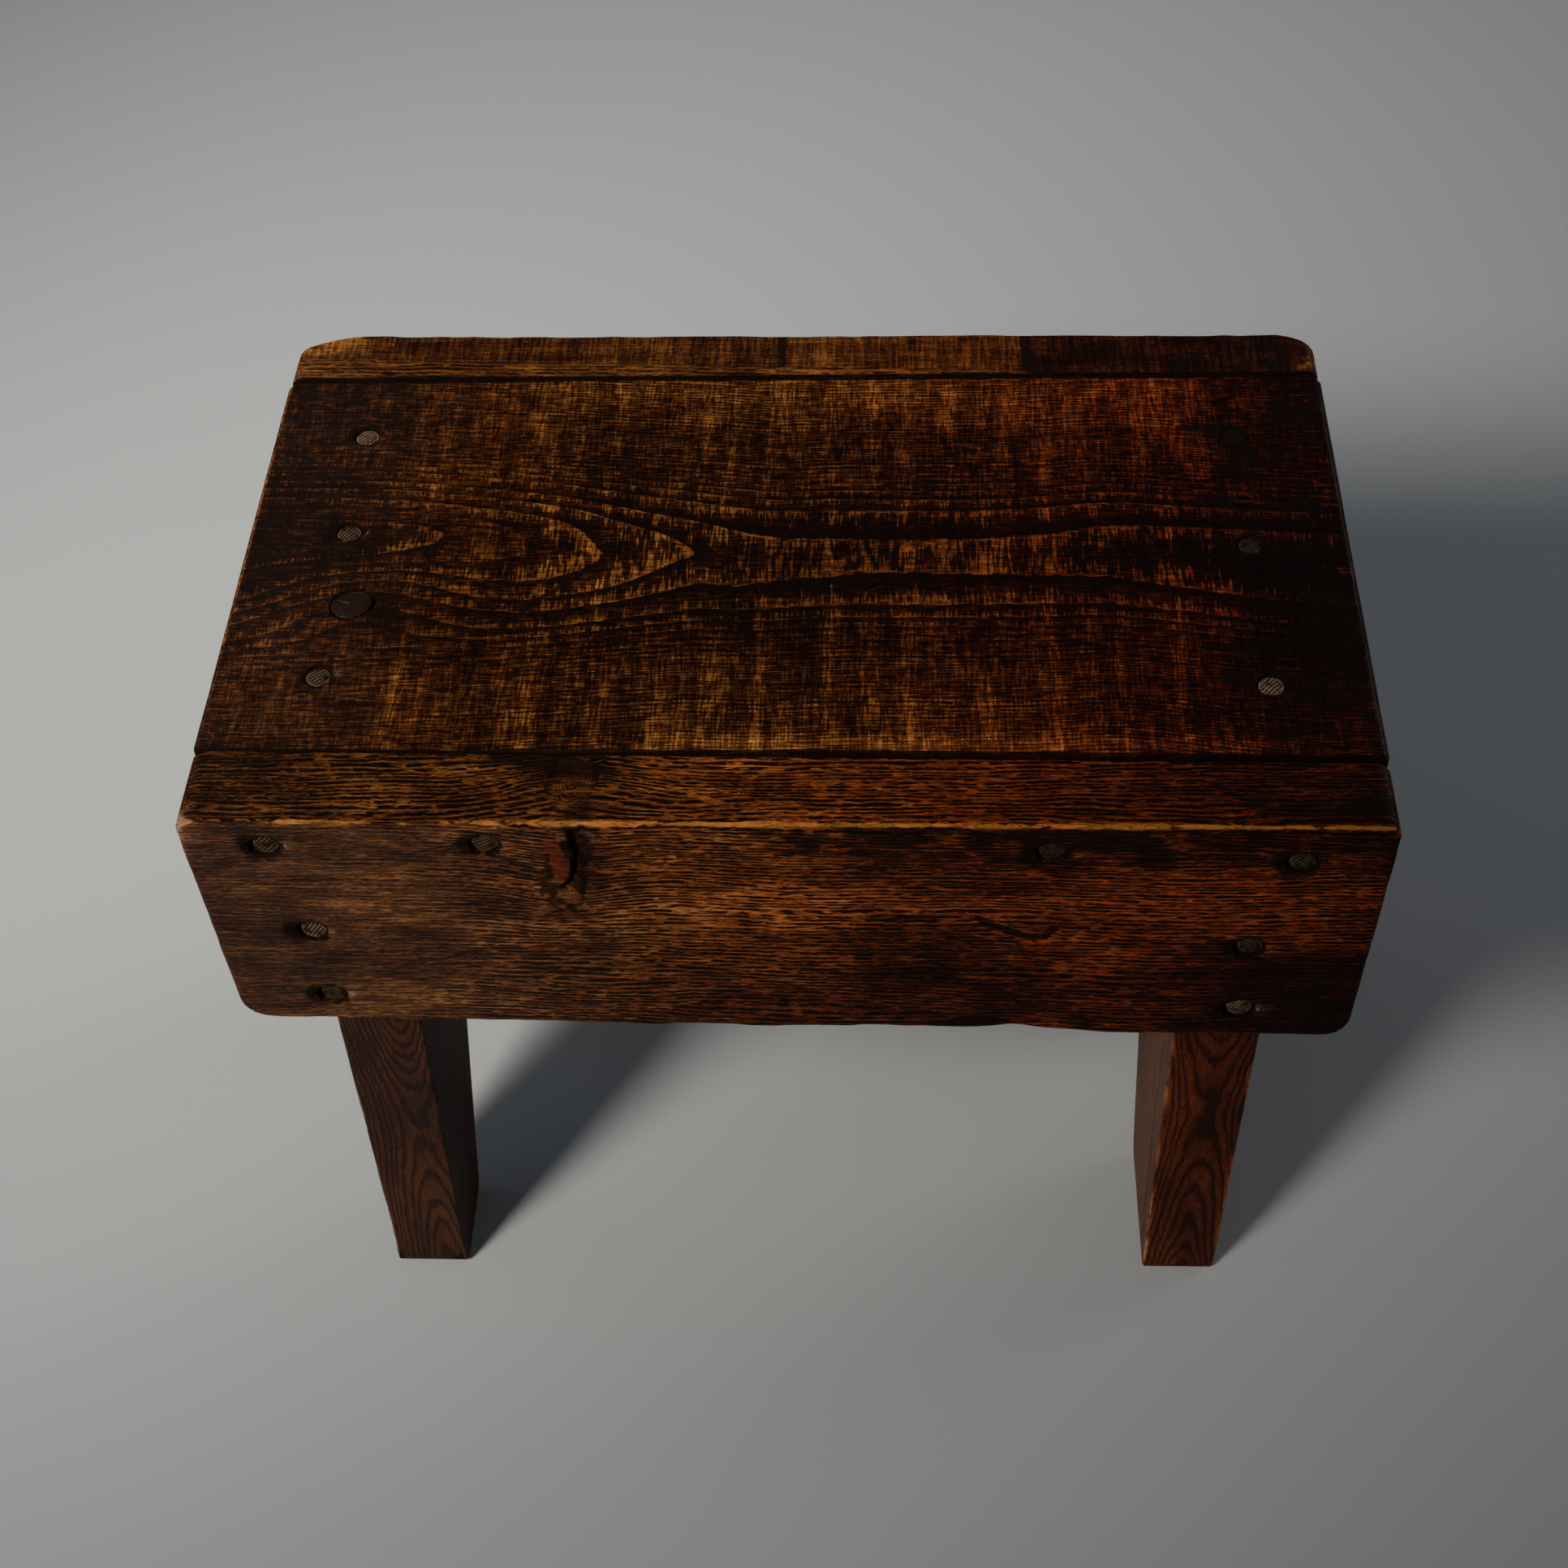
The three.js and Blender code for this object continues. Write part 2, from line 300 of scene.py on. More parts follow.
# How much of a nail's head is rubbed to bright metal
POLISH = {
    "top_nail_left_back": 0.7, "top_nail_left_middle": 0.3, "top_nail_left_front": 0.3,
    "top_nail_right_back": 0.0, "top_nail_right_middle": 0.1, "top_nail_right_front": 0.85,
    "front_nail_upper_left": 0.2, "front_nail_upper_mid_left": 0.2,
    "front_nail_upper_right": 0.15, "front_nail_middle_left": 0.4,
    "front_nail_middle_right": 0.15, "front_nail_lower_left": 0.15,
    "front_nail_lower_right": 0.55,
}
DULL = 0.1


def named(nodes, *words):
    return [node for node in nodes if any(word in node for word in words)]


def nail_place(node):
    """Where a nail's head is centred, and a matrix that stands its own +Z out of the wood."""
    points = points_of(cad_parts[node])
    height = points @ np.array(FACE_NORMALS[node.split("_")[0]], float)
    head = points[height > height.max() - 0.3].mean(axis=0)
    axis = Vector(head - points[height.argmin()]).normalized()
    turn = Vector((0, 0, 1)).rotation_difference(axis).to_matrix()
    return head, np.array(turn)


def nail_profile():
    point, under, rim, top_rings = 5.0, 1.3, 0.28, 20
    flat = NAIL_HEAD_RADIUS - rim
    half_edge = under * 0.31
    tip, shank = -NAIL_LENGTH, NAIL_SHANK_RADIUS
    profile = [(0, tip), (shank * 0.5, tip + point * 0.5), (shank, tip + point)]
    profile += [(shank, z) for z in np.linspace(tip + 2 * point, -under - 1, 8)]
    profile += [(shank * 1.15, -under), (flat, -2 * half_edge)]
    for turn in np.linspace(-math.pi / 2, math.pi / 2, 7)[1:]:
        profile.append((flat + rim * math.cos(turn), half_edge * (math.sin(turn) - 1)))
    return profile + [(radius, 0) for radius in np.linspace(flat, 0, top_rings)[1:]]


def make_nail(node, material, seed):
    """A wire nail with a cross-hatched head, its hatching worn by more or less."""
    random = np.random.default_rng(seed)
    head, turn = nail_place(node)
    points, faces = lathe(nail_profile(), 64)
    x, y, z = points.T
    top = (z > -0.02).astype(float)
    spin = -math.pi / 4 + random.uniform(-0.4, 0.4)
    u = x * math.cos(spin) + y * math.sin(spin)
    v = y * math.cos(spin) - x * math.sin(spin)
    across, along = (np.cos(2 * math.pi * w / HATCH_PITCH) for w in (u, v))
    grooves = np.maximum(across, 0.3 * along)
    depth = random.uniform(0.16, 0.26)
    worn = 0.75 + 0.25 * noise(points + seed * 13.1, 3.0, seed)
    out = np.hypot(u, v)
    inner = smooth(NAIL_HEAD_RADIUS - 0.1, NAIL_HEAD_RADIUS - 0.7, out)
    hatch = top * inner * worn * np.clip(grooves, 0, 1)
    z += top * 0.18 * smooth(NAIL_HEAD_RADIUS, 0, out) - hatch * depth
    z += top * 0.1 * noise(points + seed * 7.7, 2.2, seed + 5)
    z -= NAIL_SUNK[node.split("_")[0]]
    nail = new_object("driven_" + node, points @ turn.T + head, faces)
    layers = {"hatch": hatch, "polish": np.full(len(points), POLISH.get(node, DULL))}
    finish_piece(nail, node, material, 50, layers)


def nail_cutter(node, seed):
    """The hole that a nail fills: a little wider than the nail, torn to one side at its mouth."""
    random = np.random.default_rng(seed)
    head, turn = nail_place(node)
    left = turn.T @ np.array([-1.0, 0, -0.3])
    drag = math.atan2(left[1], left[0]) + random.uniform(-0.5, 0.5)
    tear = random.uniform(0.04, 0.12) if node in TOP_NAILS else random.uniform(0.25, 0.5)

    def swell(angle, z):
        if z < -2.5:
            return 1
        side = max(math.cos(angle - drag), 0) ** 2
        ragged = 0.03 * math.sin(3 * angle + seed) + 0.02 * math.sin(7 * angle + 2 * seed)
        return 1 + tear * side + ragged

    shank = NAIL_SHANK_RADIUS + 0.12
    mouth = NAIL_HEAD_RADIUS + 0.24
    tip = -NAIL_LENGTH - 2.5
    profile = [(0, tip), (shank, tip + 5), (shank, -3.0), (NAIL_HEAD_RADIUS * 0.8, -2.7)]
    profile += [(mouth, -2.2), (mouth, -0.3), (mouth * 1.04, 0.2), (mouth * 1.12, 0.7)]
    profile += [(mouth * 1.25, 1.6), (mouth * 1.3, 6), (0, 6)]
    points, faces = lathe(profile, 36, swell)
    return points @ turn.T + head, faces


def nail_holes_cutter(nodes, seed):
    """One cutter for the holes of several nails, which don't touch one another."""
    points, faces, count = [], [], 0
    for k, node in enumerate(nodes):
        own, own_faces = nail_cutter(node, seed + k)
        faces += [[count + corner for corner in face] for face in own_faces]
        points.append(own)
        count += len(own)
    return new_object("cutter", np.concatenate(points), faces)


# --- growth rings ---


def ring_edges(first_edges, width, seed):
    """Radii of the growth rings' edges: the given ones, then more of about the given width."""
    more = width * np.random.default_rng(seed).uniform(0.6, 1.45, 400)
    return np.concatenate([first_edges, first_edges[-1] + np.cumsum(more)])


@dataclass
class Log:
    """The tree that a board was sawn from: a pith line that wanders along the grain, and growth
    rings round it. pith lists (place along the grain, and the two other coordinates there)."""

    grain: int
    pith: list
    edges: np.ndarray
    seed: int
    wander: float

    def radius(self, points):
        along, *centres = np.array(self.pith, float).T
        squared = 0.0
        for axis, centre in zip([k for k in range(3) if k != self.grain], centres):
            middle = spline(along, centre, points[:, self.grain])
            squared = squared + (points[:, axis] - middle) ** 2
        slow, quick = np.full(3, 14.0), np.full(3, 4.0)
        slow[self.grain], quick[self.grain] = 60, 14
        waver = noise(points, slow, self.seed) + 0.3 * noise(points, quick, self.seed + 3)
        return np.sqrt(squared) + self.wander * waver

    def ring(self, radius):
        return np.interp(radius, self.edges, np.arange(len(self.edges)))

    def width(self, radius):
        middles = (self.edges[1:] + self.edges[:-1]) / 2
        return np.interp(radius, middles, np.diff(self.edges))


@dataclass
class Branch:
    """A branch that ran through a board: its rings are its own, and the log's bend round it."""

    start: tuple
    end: tuple
    radius: tuple
    bend: float
    reach: tuple

    def away(self, points, size):
        """How far points are from the branch's axis, in sizes along X, Y and Z."""
        offset, along = points - self.start, np.subtract(self.end, self.start)
        share = np.clip(offset @ along / (along @ along), 0, 1)
        return np.linalg.norm((offset - share[:, None] * along) / size, axis=1)

    def apply(self, points, radius):
        """The log's radius bent round the branch, how far inside it each point is, and how far
        each point is from its axis, in its own radii."""
        bent = radius + self.bend * np.exp(-self.away(points, self.reach) ** 2)
        edge = self.away(points + wandering(points, 5.0, 0.8, 61), self.radius)
        return bent, smooth(1.08, 0.92, edge), edge


def ring_layers(points, log, branch=None):
    """The layers that a wood material reads to draw its growth rings."""
    radius = log.radius(points)
    inside, own = np.zeros(len(points)), 0
    if branch:
        radius, inside, edge = branch.apply(points, radius)
        own = edge * branch.radius[0] / 0.9
    return {
        "ring": log.ring(radius) * (1 - inside) + own * inside,
        "ring_width": log.width(radius) * (1 - inside) + 0.9 * inside,
        "branch": inside,
    }


# --- the boards' shapes ---


def worn_radius(points, least, most, seed):
    """How far an edge is rubbed round, more here and less there."""
    worn = 0.5 + 0.9 * noise(points, 26, seed) + 0.4 * noise(points, 6, seed + 2)
    return least + (most - least) * np.clip(worn, 0, 1)


def hand_worked(points, normals, seed, amount):
    """Pushes a surface in a little, unevenly, as planing and years of use do."""
    uneven = 0.55 * noise(points, 45, seed) + 0.3 * noise(points, 13, seed + 4)
    fine = 0.15 * noise(points, 3.2, seed + 8)
    return points - normals * (amount * (0.5 + 0.5 * (uneven + fine)))[:, None]


def saw_steps(points, seed):
    """The frame saw's marks: low ridges across the grain at uneven spacing, 0 to 1."""
    wobble = points[:, 0] + 1.6 * noise(points, (400, 30, 30), seed)
    line = np.outer(wobble, (1, 0, 0))
    return 0.5 + 0.5 * noise(line, 3.4, seed + 1) + 0.2 * noise(line, 9, seed + 2)


def bruise(points, nodes, facing):
    """Dents the wood at the left of each nail's head, where the hammer dragged it."""
    for node in nodes:
        middle = nail_place(node)[0] + (-4.3, 0, -0.6)
        points = points - np.outer(1.5 * blob(points, middle, (2.6, 3.0, 2.3)), facing)
    return points


def make_plank():
    low = np.array([-HALF_LENGTH, SEAT_LOW[1], PLANK_UNDERSIDE])
    high = np.array([HALF_LENGTH, SEAT_HIGH[1], HEIGHT])
    points, faces = block(low, high, (1.4, 1.4, 2.2))
    radius = worn_radius(points, 0.35, 0.8, 11)
    radius += 1.6 * smooth(HALF_LENGTH - 6, HALF_LENGTH, abs(points[:, 0]))
    radius += 1.3 * blob(points, (-70, SEAT_LOW[1], HEIGHT), (14, 12, 12))
    points, normals = round_edges(points, low, high, radius)
    for side in (-1, 1):
        round_corner(points, 0, (side * HALF_LENGTH, HEIGHT), (-side, -1), 3)
    points = hand_worked(points, normals, 15, 0.34)
    x, y, z = points.T
    ridge = smooth(0.2, 0.9, saw_steps(points, 20)) * abs(normals[:, 2])
    z += 0.07 * (ridge - 1) * np.sign(normals[:, 2])
    across = (y - low[1]) / (high[1] - low[1])
    opening = smooth(-110, 40, x)
    gap = SHRINKAGE_GAP["front_left"] * (1 - opening) + SHRINKAGE_GAP["front_right"] * opening
    near = FRONT + front_thickness(x, HEIGHT) + gap
    far = BACK - back_thickness(x) - SHRINKAGE_GAP["back"]
    y[:] = near + across * (far - near)
    return new_object("sawn_seat_plank", bruise(points, TOP_NAILS, (0, 0, 0.25)), faces)


def apron_depth(x):
    share = (x + HALF_LENGTH) / (2 * HALF_LENGTH)
    return APRON_DEPTH["left"] + share * (APRON_DEPTH["right"] - APRON_DEPTH["left"])


def apron_bottom(x):
    """The lower edge's height: it slopes along the board and has been planed unevenly."""
    lifted = 1.5 * np.exp(-(((x - 45) / 45) ** 2)) + 1.6 * np.exp(-(((x - 70) / 7) ** 2))
    return HEIGHT - apron_depth(x) + lifted


def make_apron(name, face_y, inward, thickness_at, seed, fine_parts=((), (), ())):
    """One long side board. inward is the direction from its outer face into the stool. The back
    board was cut as the front one's mirror image."""
    deep = APRON_DEPTH["right"]
    thickest = APRON_THICKNESS[name] + THINNER_TO_RIGHT
    low = np.array([-HALF_LENGTH, 0, HEIGHT - deep])
    high = np.array([HALF_LENGTH, thickest, HEIGHT])
    points, faces = block(low, high, (1.3, 1.5, 1.3), fine_parts)
    outer = smooth(10, 5, points[:, 1])
    radius = 0.4 + outer * worn_radius(points, 0.3, 1.8, seed)
    radius += 1.2 * smooth(HALF_LENGTH - 6, HALF_LENGTH, abs(points[:, 0])) * (1 - outer)
    points, normals = round_edges(points, low, high, radius)
    for side in (-1, 1):
        round_corner(points, 0, (side * HALF_LENGTH, HEIGHT), (-side, -1), 5)
        round_corner(points, 0, (side * HALF_LENGTH, HEIGHT - deep), (-side, 1), 9)
    points = hand_worked(points, normals, seed + 3, 0.42)
    x, y, z = points.T
    drop = HEIGHT - z
    z[:] = HEIGHT - drop * (HEIGHT - apron_bottom(inward * x)) / deep
    cant = np.where(x < 0, APRON_CANT["left"], APRON_CANT["right"])
    x -= np.sign(x) * cant * drop / deep * abs(x) / HALF_LENGTH
    y[:] = face_y + inward * y * thickness_at(x, z) / thickest
    return points, faces[:, ::inward]


# Where the front board is damaged, in x and z, and lines of damage on its face as (x, z)
DAMAGED_PARTS = (((-71, -49), (56, 81)), (), ((219, 233), (240, 272)))
CHIP = [(57, 230.5), (61, 228), (66, 225.5), (71, 223), (76, 223), (79, 226.5)]
SPIKE_WEDGE = [(-66.5, 262), (-65, 255), (-63.2, 248)]
SPIKE_CRACK = [(-60.5, 268), (-59.5, 258), (-61, 249), (-64, 243.5)]
SPIKE_PITS = [(-57, 271), (-54, 262), (-56, 253), (-60, 245), (-66, 241)]


def make_front():
    """The front board, with a lifted chip, a split branch end, and pits beside its nails."""
    points, faces = make_apron("front", FRONT, 1, front_thickness, 51, DAMAGED_PARTS)
    x, y, z = points.T
    face = smooth(FRONT + 6, FRONT + 1, y)
    ragged = points + wandering(points, 2.5, 0.5, 78)
    y += face * 0.45 * stroke(points, CHIP, 3.2)
    y += face * 2.4 * stroke(ragged, SPIKE_CRACK, 1.7)
    rough = 0.5 + 0.5 * noise(points, 2.6, 71)
    pits = stroke(points, SPIKE_PITS, 6) + 0.6 * blob(points, (40, FRONT, 268), (60, 8, 6))
    y += face * 0.9 * np.clip(pits, 0, 1) * rough**2
    hollow = blob(points, (-62, -92, HEIGHT), (13, 8, 9)) * (0.5 + 0.5 * noise(points, 2.4, 73))
    z -= 1.1 * smooth(HEIGHT - 3, HEIGHT - 0.5, z) * hollow
    splinters = smooth(100, 150, x) * (0.5 + 0.5 * noise(points, (9, 2, 2), 75))
    splinters *= 0.8 * blob(points, (0, FRONT, HEIGHT), (math.inf, 4, 4))
    y += splinters
    z -= splinters
    return new_object("nailed_front_apron", bruise(points, FRONT_NAILS, (0, -1, 0)), faces)


def make_back():
    """The back board, with its upper corners worn round in plan."""
    points, faces = make_apron("back", BACK, -1, lambda x, z: back_thickness(x), 57)
    x, y, z = points.T
    left = np.clip(-150 - x, 0, None) ** 2 / 74
    right = np.clip(x - 160, 0, None) ** 2 / 30
    worn_away = smooth(HEIGHT - 55, HEIGHT - 5, z) * np.minimum(left + right, 12)
    y -= smooth(BACK - 16, BACK, y) * worn_away
    return new_object("nailed_back_apron", bruise(points, BACK_NAILS, (0, 0.6, 0)), faces)


def notch_height(y, notch):
    """The height of the V cut between a leg's feet: straight sides and a rounded apex."""
    near, far, apex = notch
    middle, half = (near + far) / 2, (far - near) / 2
    slope = apex / half
    radius = 5.0
    away = abs(y - middle)
    touch = radius * slope / math.hypot(1, slope)
    centre = apex - radius * math.hypot(1, slope)
    round_top = centre + np.sqrt(np.clip(radius**2 - away**2, 0, None))
    flank = 0.9 * slope * np.logaddexp(0, (half - away) / 0.9)
    return np.where(away < touch, round_top, np.minimum(flank, centre + radius))


def make_leg(name):
    side, notch, lean = (LEGS[name][key] for key in ("side", "notch", "lean"))
    thick_end = side * LEG_CENTRE - LEG_THICKNESS_TOP / 2
    near = FRONT + front_thickness(thick_end, PLANK_UNDERSIDE) + TOUCHING_GAP
    far = BACK - back_thickness(thick_end) - TOUCHING_GAP
    low = np.array([-LEG_THICKNESS_TOP / 2, near, 0])
    high = np.array([LEG_THICKNESS_TOP / 2, far, LEG_TOP])
    points, faces = block(low, high, (1.3, 1.4, 1.4))
    points, normals = round_edges(points, low, high, worn_radius(points, 0.9, 2.1, 31 + side))
    round_corner(points, 1, (near, 0), (1, 1), 2.8)
    round_corner(points, 1, (far, 0), (-1, 1), 2.8)
    points = hand_worked(points, normals, 41 + side, 0.4)
    x, y, z = points.T
    floor = notch_height(y, notch)
    z[:] = floor + z * (LEG_TOP - floor) / LEG_TOP
    down = 1 - z / LEG_TOP
    y -= lean * down * np.clip((notch[0] - y) / (notch[0] - near), 0, 1)
    x *= 1 - down * (1 - LEG_THICKNESS_FOOT / LEG_THICKNESS_TOP)
    x += side * LEG_CENTRE
    return new_object(name + "_notched_leg", points, faces)


# --- the loose knot ---

KNOT_LOW, KNOT_HIGH = box_mm("loose_knot")
KNOT_CENTRE = (KNOT_LOW + KNOT_HIGH) / 2
KNOT_SIZE = (6.55, 5.55)
KNOT_TURN = 0.35
KNOT_TAPER = 0.94
KNOT_GAP = 0.75


def knot_matrix():
    cos, sin = math.cos(KNOT_TURN), math.sin(KNOT_TURN)
    return np.array([[cos, -sin, 0], [sin, cos, 0], [0, 0, 1]])


def knot_swell(angle, z):
    return 1 + 0.02 * math.sin(3 * angle + 1) + 0.012 * math.sin(5 * angle)


def make_knot(material):
    """A knot that has shrunk loose in its hole: a slightly tapering plug with rings of its own."""
    height = KNOT_HIGH[2] - KNOT_LOW[2]
    profile = [(0, 0)] + [(r, 0) for r in np.linspace(1, KNOT_TAPER * 6.4, 7)]
    profile += [(6.7 * (KNOT_TAPER + (1 - KNOT_TAPER) * t), height * t) for t in (0.05, 0.35, 0.65)]
    profile += [(6.66, height - 1.6), (6.62, height - 0.5), (6.5, height - 0.18)]
    profile += [(r, height - 0.02) for r in np.linspace(6.2, 0.3, 22)] + [(0, height - 0.02)]
    points, faces = lathe(profile, 72, knot_swell)
    x, y, z = points.T
    radius = np.hypot(x, y)
    top = z > height - 0.3
    angle = np.arctan2(y, x)
    z -= top * (0.5 * (radius / 6.6) ** 3 + 0.09 * (0.5 - 0.5 * np.cos(radius * 7)))
    crack = smooth(0.5, 0, abs(radius * np.sin(angle - 2.4))) * (np.cos(angle - 2.4) > 0)
    z -= top * crack * 0.5 * smooth(0, 1, radius) * smooth(6.4, 4.5, radius)
    layers = {"ring": radius / 0.75 + 0.15 * np.sin(2 * angle), "crack": crack * top}
    y *= KNOT_SIZE[1] / KNOT_SIZE[0]
    points = points @ knot_matrix().T
    points += (KNOT_CENTRE[0] - 0.42, KNOT_CENTRE[1] + 0.4, KNOT_LOW[2])
    knot = new_object("shrunken_knot", points, faces)
    finish_piece(knot, "loose_knot", material, 50, layers)


def knot_cutter():
    wide = KNOT_SIZE[0] + KNOT_GAP
    low, high = PLANK_UNDERSIDE - 1, HEIGHT + 1
    profile = [(0, low)]
    for t in (0, 0.5, 0.95):
        profile.append((wide * (KNOT_TAPER + (1 - KNOT_TAPER) * t), low + t * (high - low)))
    profile += [(wide * 1.03, high), (0, high)]
    points, faces = lathe(profile, 56, lambda angle, z: knot_swell(angle + 0.4, z) + 0.004)
    points[:, 1] *= (KNOT_SIZE[1] + KNOT_GAP) / wide
    points = points @ knot_matrix().T + (KNOT_CENTRE[0], KNOT_CENTRE[1], 0)
    return new_object("cutter", points, faces)


# --- what the boards were cut from ---

# How deep the pith lies under the seat's top, along the seat
SEAT_PITH_DEPTH = [
    (-175, 6), (-140, 9), (-108, 17), (-83, 23), (-60, 28.6), (-31, 33.3), (-10, 35.6), (15, 36.2),
    (60, 36.3), (80, 36), (95, 35.5), (110, 34.85), (120, 34.5), (140, 33.95), (175, 33.5),
]
# How far the pith wanders towards the back, along the seat
SEAT_PITH_ACROSS = [
    (-175, 0), (-20, 0), (-10, -1.5), (5, -0.5), (70, 0), (95, 2.1), (110, 1.2), (120, -0.2),
    (140, -3), (175, -6),
]
# How far the innermost rings' arches sit towards the back, along the seat
SEAT_ARCH_ACROSS = [
    (-175, 5), (-125, 6), (-108, 5), (-83, 2), (-60, -1), (-45, 1), (-31, 3), (-18, 0),
]
SEAT_RING_EDGES = (0, 6, 11.5, 17, 23, 28.6, 33.3, 37.1, 42.3, 45.4, 48.0, 50.3, 52.3, 54.1, 55.7)
# How clearly each of those rings' outer edges stands out
SEAT_EDGE_STRENGTH = (0.1, 0.2, 0.9, 0.35, 1.0, 1.0, 1.0, 0.8, 0.75, 0.6, 0.45, 0.5, 0.4, 0.35)
SEAT_KNOT = Branch((-136.5, -22.7, 240), (-136.5, -22.7, 280), (6, 5, 20), 16, (36, 17, 60))
SPIKE_KNOT = Branch((-65, -112, 243), (-61, -95, 274), (6.5, 12, 9), 4, (20, 22, 15))


def seat_log():
    across = np.transpose(SEAT_PITH_ACROSS)
    pith = [(x, np.interp(x, *across), HEIGHT - depth) for x, depth in SEAT_PITH_DEPTH]
    return Log(0, pith, ring_edges(SEAT_RING_EDGES, 1.25, 5), 7, 0.16)


def seat_edge_strength(ring):
    """How clearly a seat ring's outer edge stands out, at places given in rings from the pith."""
    random = np.random.default_rng(9)
    strength = np.concatenate([SEAT_EDGE_STRENGTH, random.uniform(0.3, 0.75, 60)])
    start = np.arange(len(strength))
    places = np.stack([start + 0.5, start + 1.0], axis=1).ravel()
    return np.interp(ring, places, np.repeat(strength, 2))


def apron_log(side, seed):
    """side is -1 for the front board and 1 for the back one: the pith lay inside the stool."""
    pith = [(-180, 30, 112), (-60, 29, 110), (60, 31, 109), (180, 28, 106)]
    pith = [(x, -side * y, z) for x, y, z in pith]
    return Log(0, pith, ring_edges((0, 4), 1.0, seed), seed, 1.3)


# How far the pith lies behind a leg's front edge, up the leg
LEG_PITH_DEPTH = {
    "left": [(0, 3.5), (20, 5), (50, 8.2), (80, 11), (110, 9.6), (128, 6.8), (145, 3.5), (246, 3)],
    "right": [(0, 4), (18, 6), (50, 8.4), (78, 11), (100, 12), (127, 10), (150, 7), (246, 6)],
}
LEG_PITH_OFFSET = {"left": 6, "right": 1.5}


def leg_log(name, front_y):
    side = LEGS[name]["side"]
    centre = side * LEG_CENTRE + LEG_PITH_OFFSET[name]
    pith = [(z, centre, front_y + depth) for z, depth in LEG_PITH_DEPTH[name]]
    return Log(2, pith, ring_edges((0, 2), 1.55, 17), 23 + side, 0.75)


# --- colour, wear, painted shade and painted sheen, as layers on the boards' points ---


def edge_gap(distances):
    """How far a point on a board is from its nearest edge, given its distances from the faces."""
    return np.sort(np.stack(distances), axis=0)[1]


def nail_halo(points, nodes, size, lead=0.0):
    """1 close round any of these nails, falling away within size mm; lead moves it along X."""
    halos = [blob(points, nail_place(node)[0] + (lead, 0, 0), (size,) * 3) for node in nodes]
    return np.max(halos, axis=0)


def nail_holes(points, nodes):
    """True on the walls and rims of the holes that these nails fill."""
    found = np.zeros(len(points), bool)
    for node in nodes:
        head, turn = nail_place(node)
        x, y, z = ((points - head) @ turn).T
        found |= (np.hypot(x, y) < NAIL_HEAD_RADIUS + 0.9) & (z < 3)
    return found


SAW_BANDS = (-118, -100, -85, -79, -60, -32, -23, -9, 12, 25, 35, 48, 60, 80, 100, 118, 131)
SCRATCH = [(-87, -31), (-77, -19), (-65, -8)]
# Spots on the seat's top: how strong, middle (x, y) and half widths. Tones lighten or darken the
# wood, and dirt lies round the knot and in the torn wood at the right end.
SEAT_TONES = (
    (-0.30, (20, 15.5), (95, 4.5)), (-0.28, (30, -15), (60, 4)), (0.10, (128, 72), (14, 16)),
)
SEAT_DIRT = (
    (0.65, (-127, -25), (7, 15)), (0.45, (-137, -23), (11, 9)),
    (0.9, (133, 63), (7, 2.6)), (0.9, (134, 27), (6, 4)), (0.9, (134, 19), (4, 3)),
    (0.9, (130, 7), (5, 2)), (0.9, (160, 24), (9, 3)), (0.9, (131, -55), (6, 2.4)),
    (0.9, (138, -42), (7, 2.2)), (0.9, (158, 2), (10, 4)), (0.9, (168, -40), (4, 26)),
)
DULL_FLAME_ENDS = ((1, (-12, -1), (15, 9)), (1, (108, 3), (12, 7)))


def seat_spots(points, spots):
    return sum(
        strength * blob(points, (*middle, HEIGHT), (*size, 60)) for strength, middle, size in spots
    )


def seat_streaks(points):
    """Where the saw's teeth marks across the seat stand out bright, from 0 to about 1."""
    x, y, _ = points.T
    ragged = x + 2 * noise(points, 25, 81)
    bands = sum(np.exp(-(((ragged - band) / 1.9) ** 2)) for band in SAW_BANDS)
    fine_bands = smooth(0.0, 0.4, noise(points, (2.4, 34, 30), 83))
    woven = smooth(24, 52, abs(y)) * (0.65 + 0.35 * noise(points, (40, 22, 40), 85))
    middle = smooth(26, 20, abs(y)) * smooth(-135, -120, x) * smooth(150, 120, x)
    end = x + 8 * noise(points, (30, 3, 30), 87)
    core = middle * smooth(14, 10, abs(y)) * smooth(-2, 12, end) * smooth(122, 84, end)
    wanted = 0.22 + 0.38 * bands + 0.42 * fine_bands * woven + 0.15 * middle
    return wanted * (1 - 0.45 * core) - 0.8 * seat_spots(points, DULL_FLAME_ENDS)


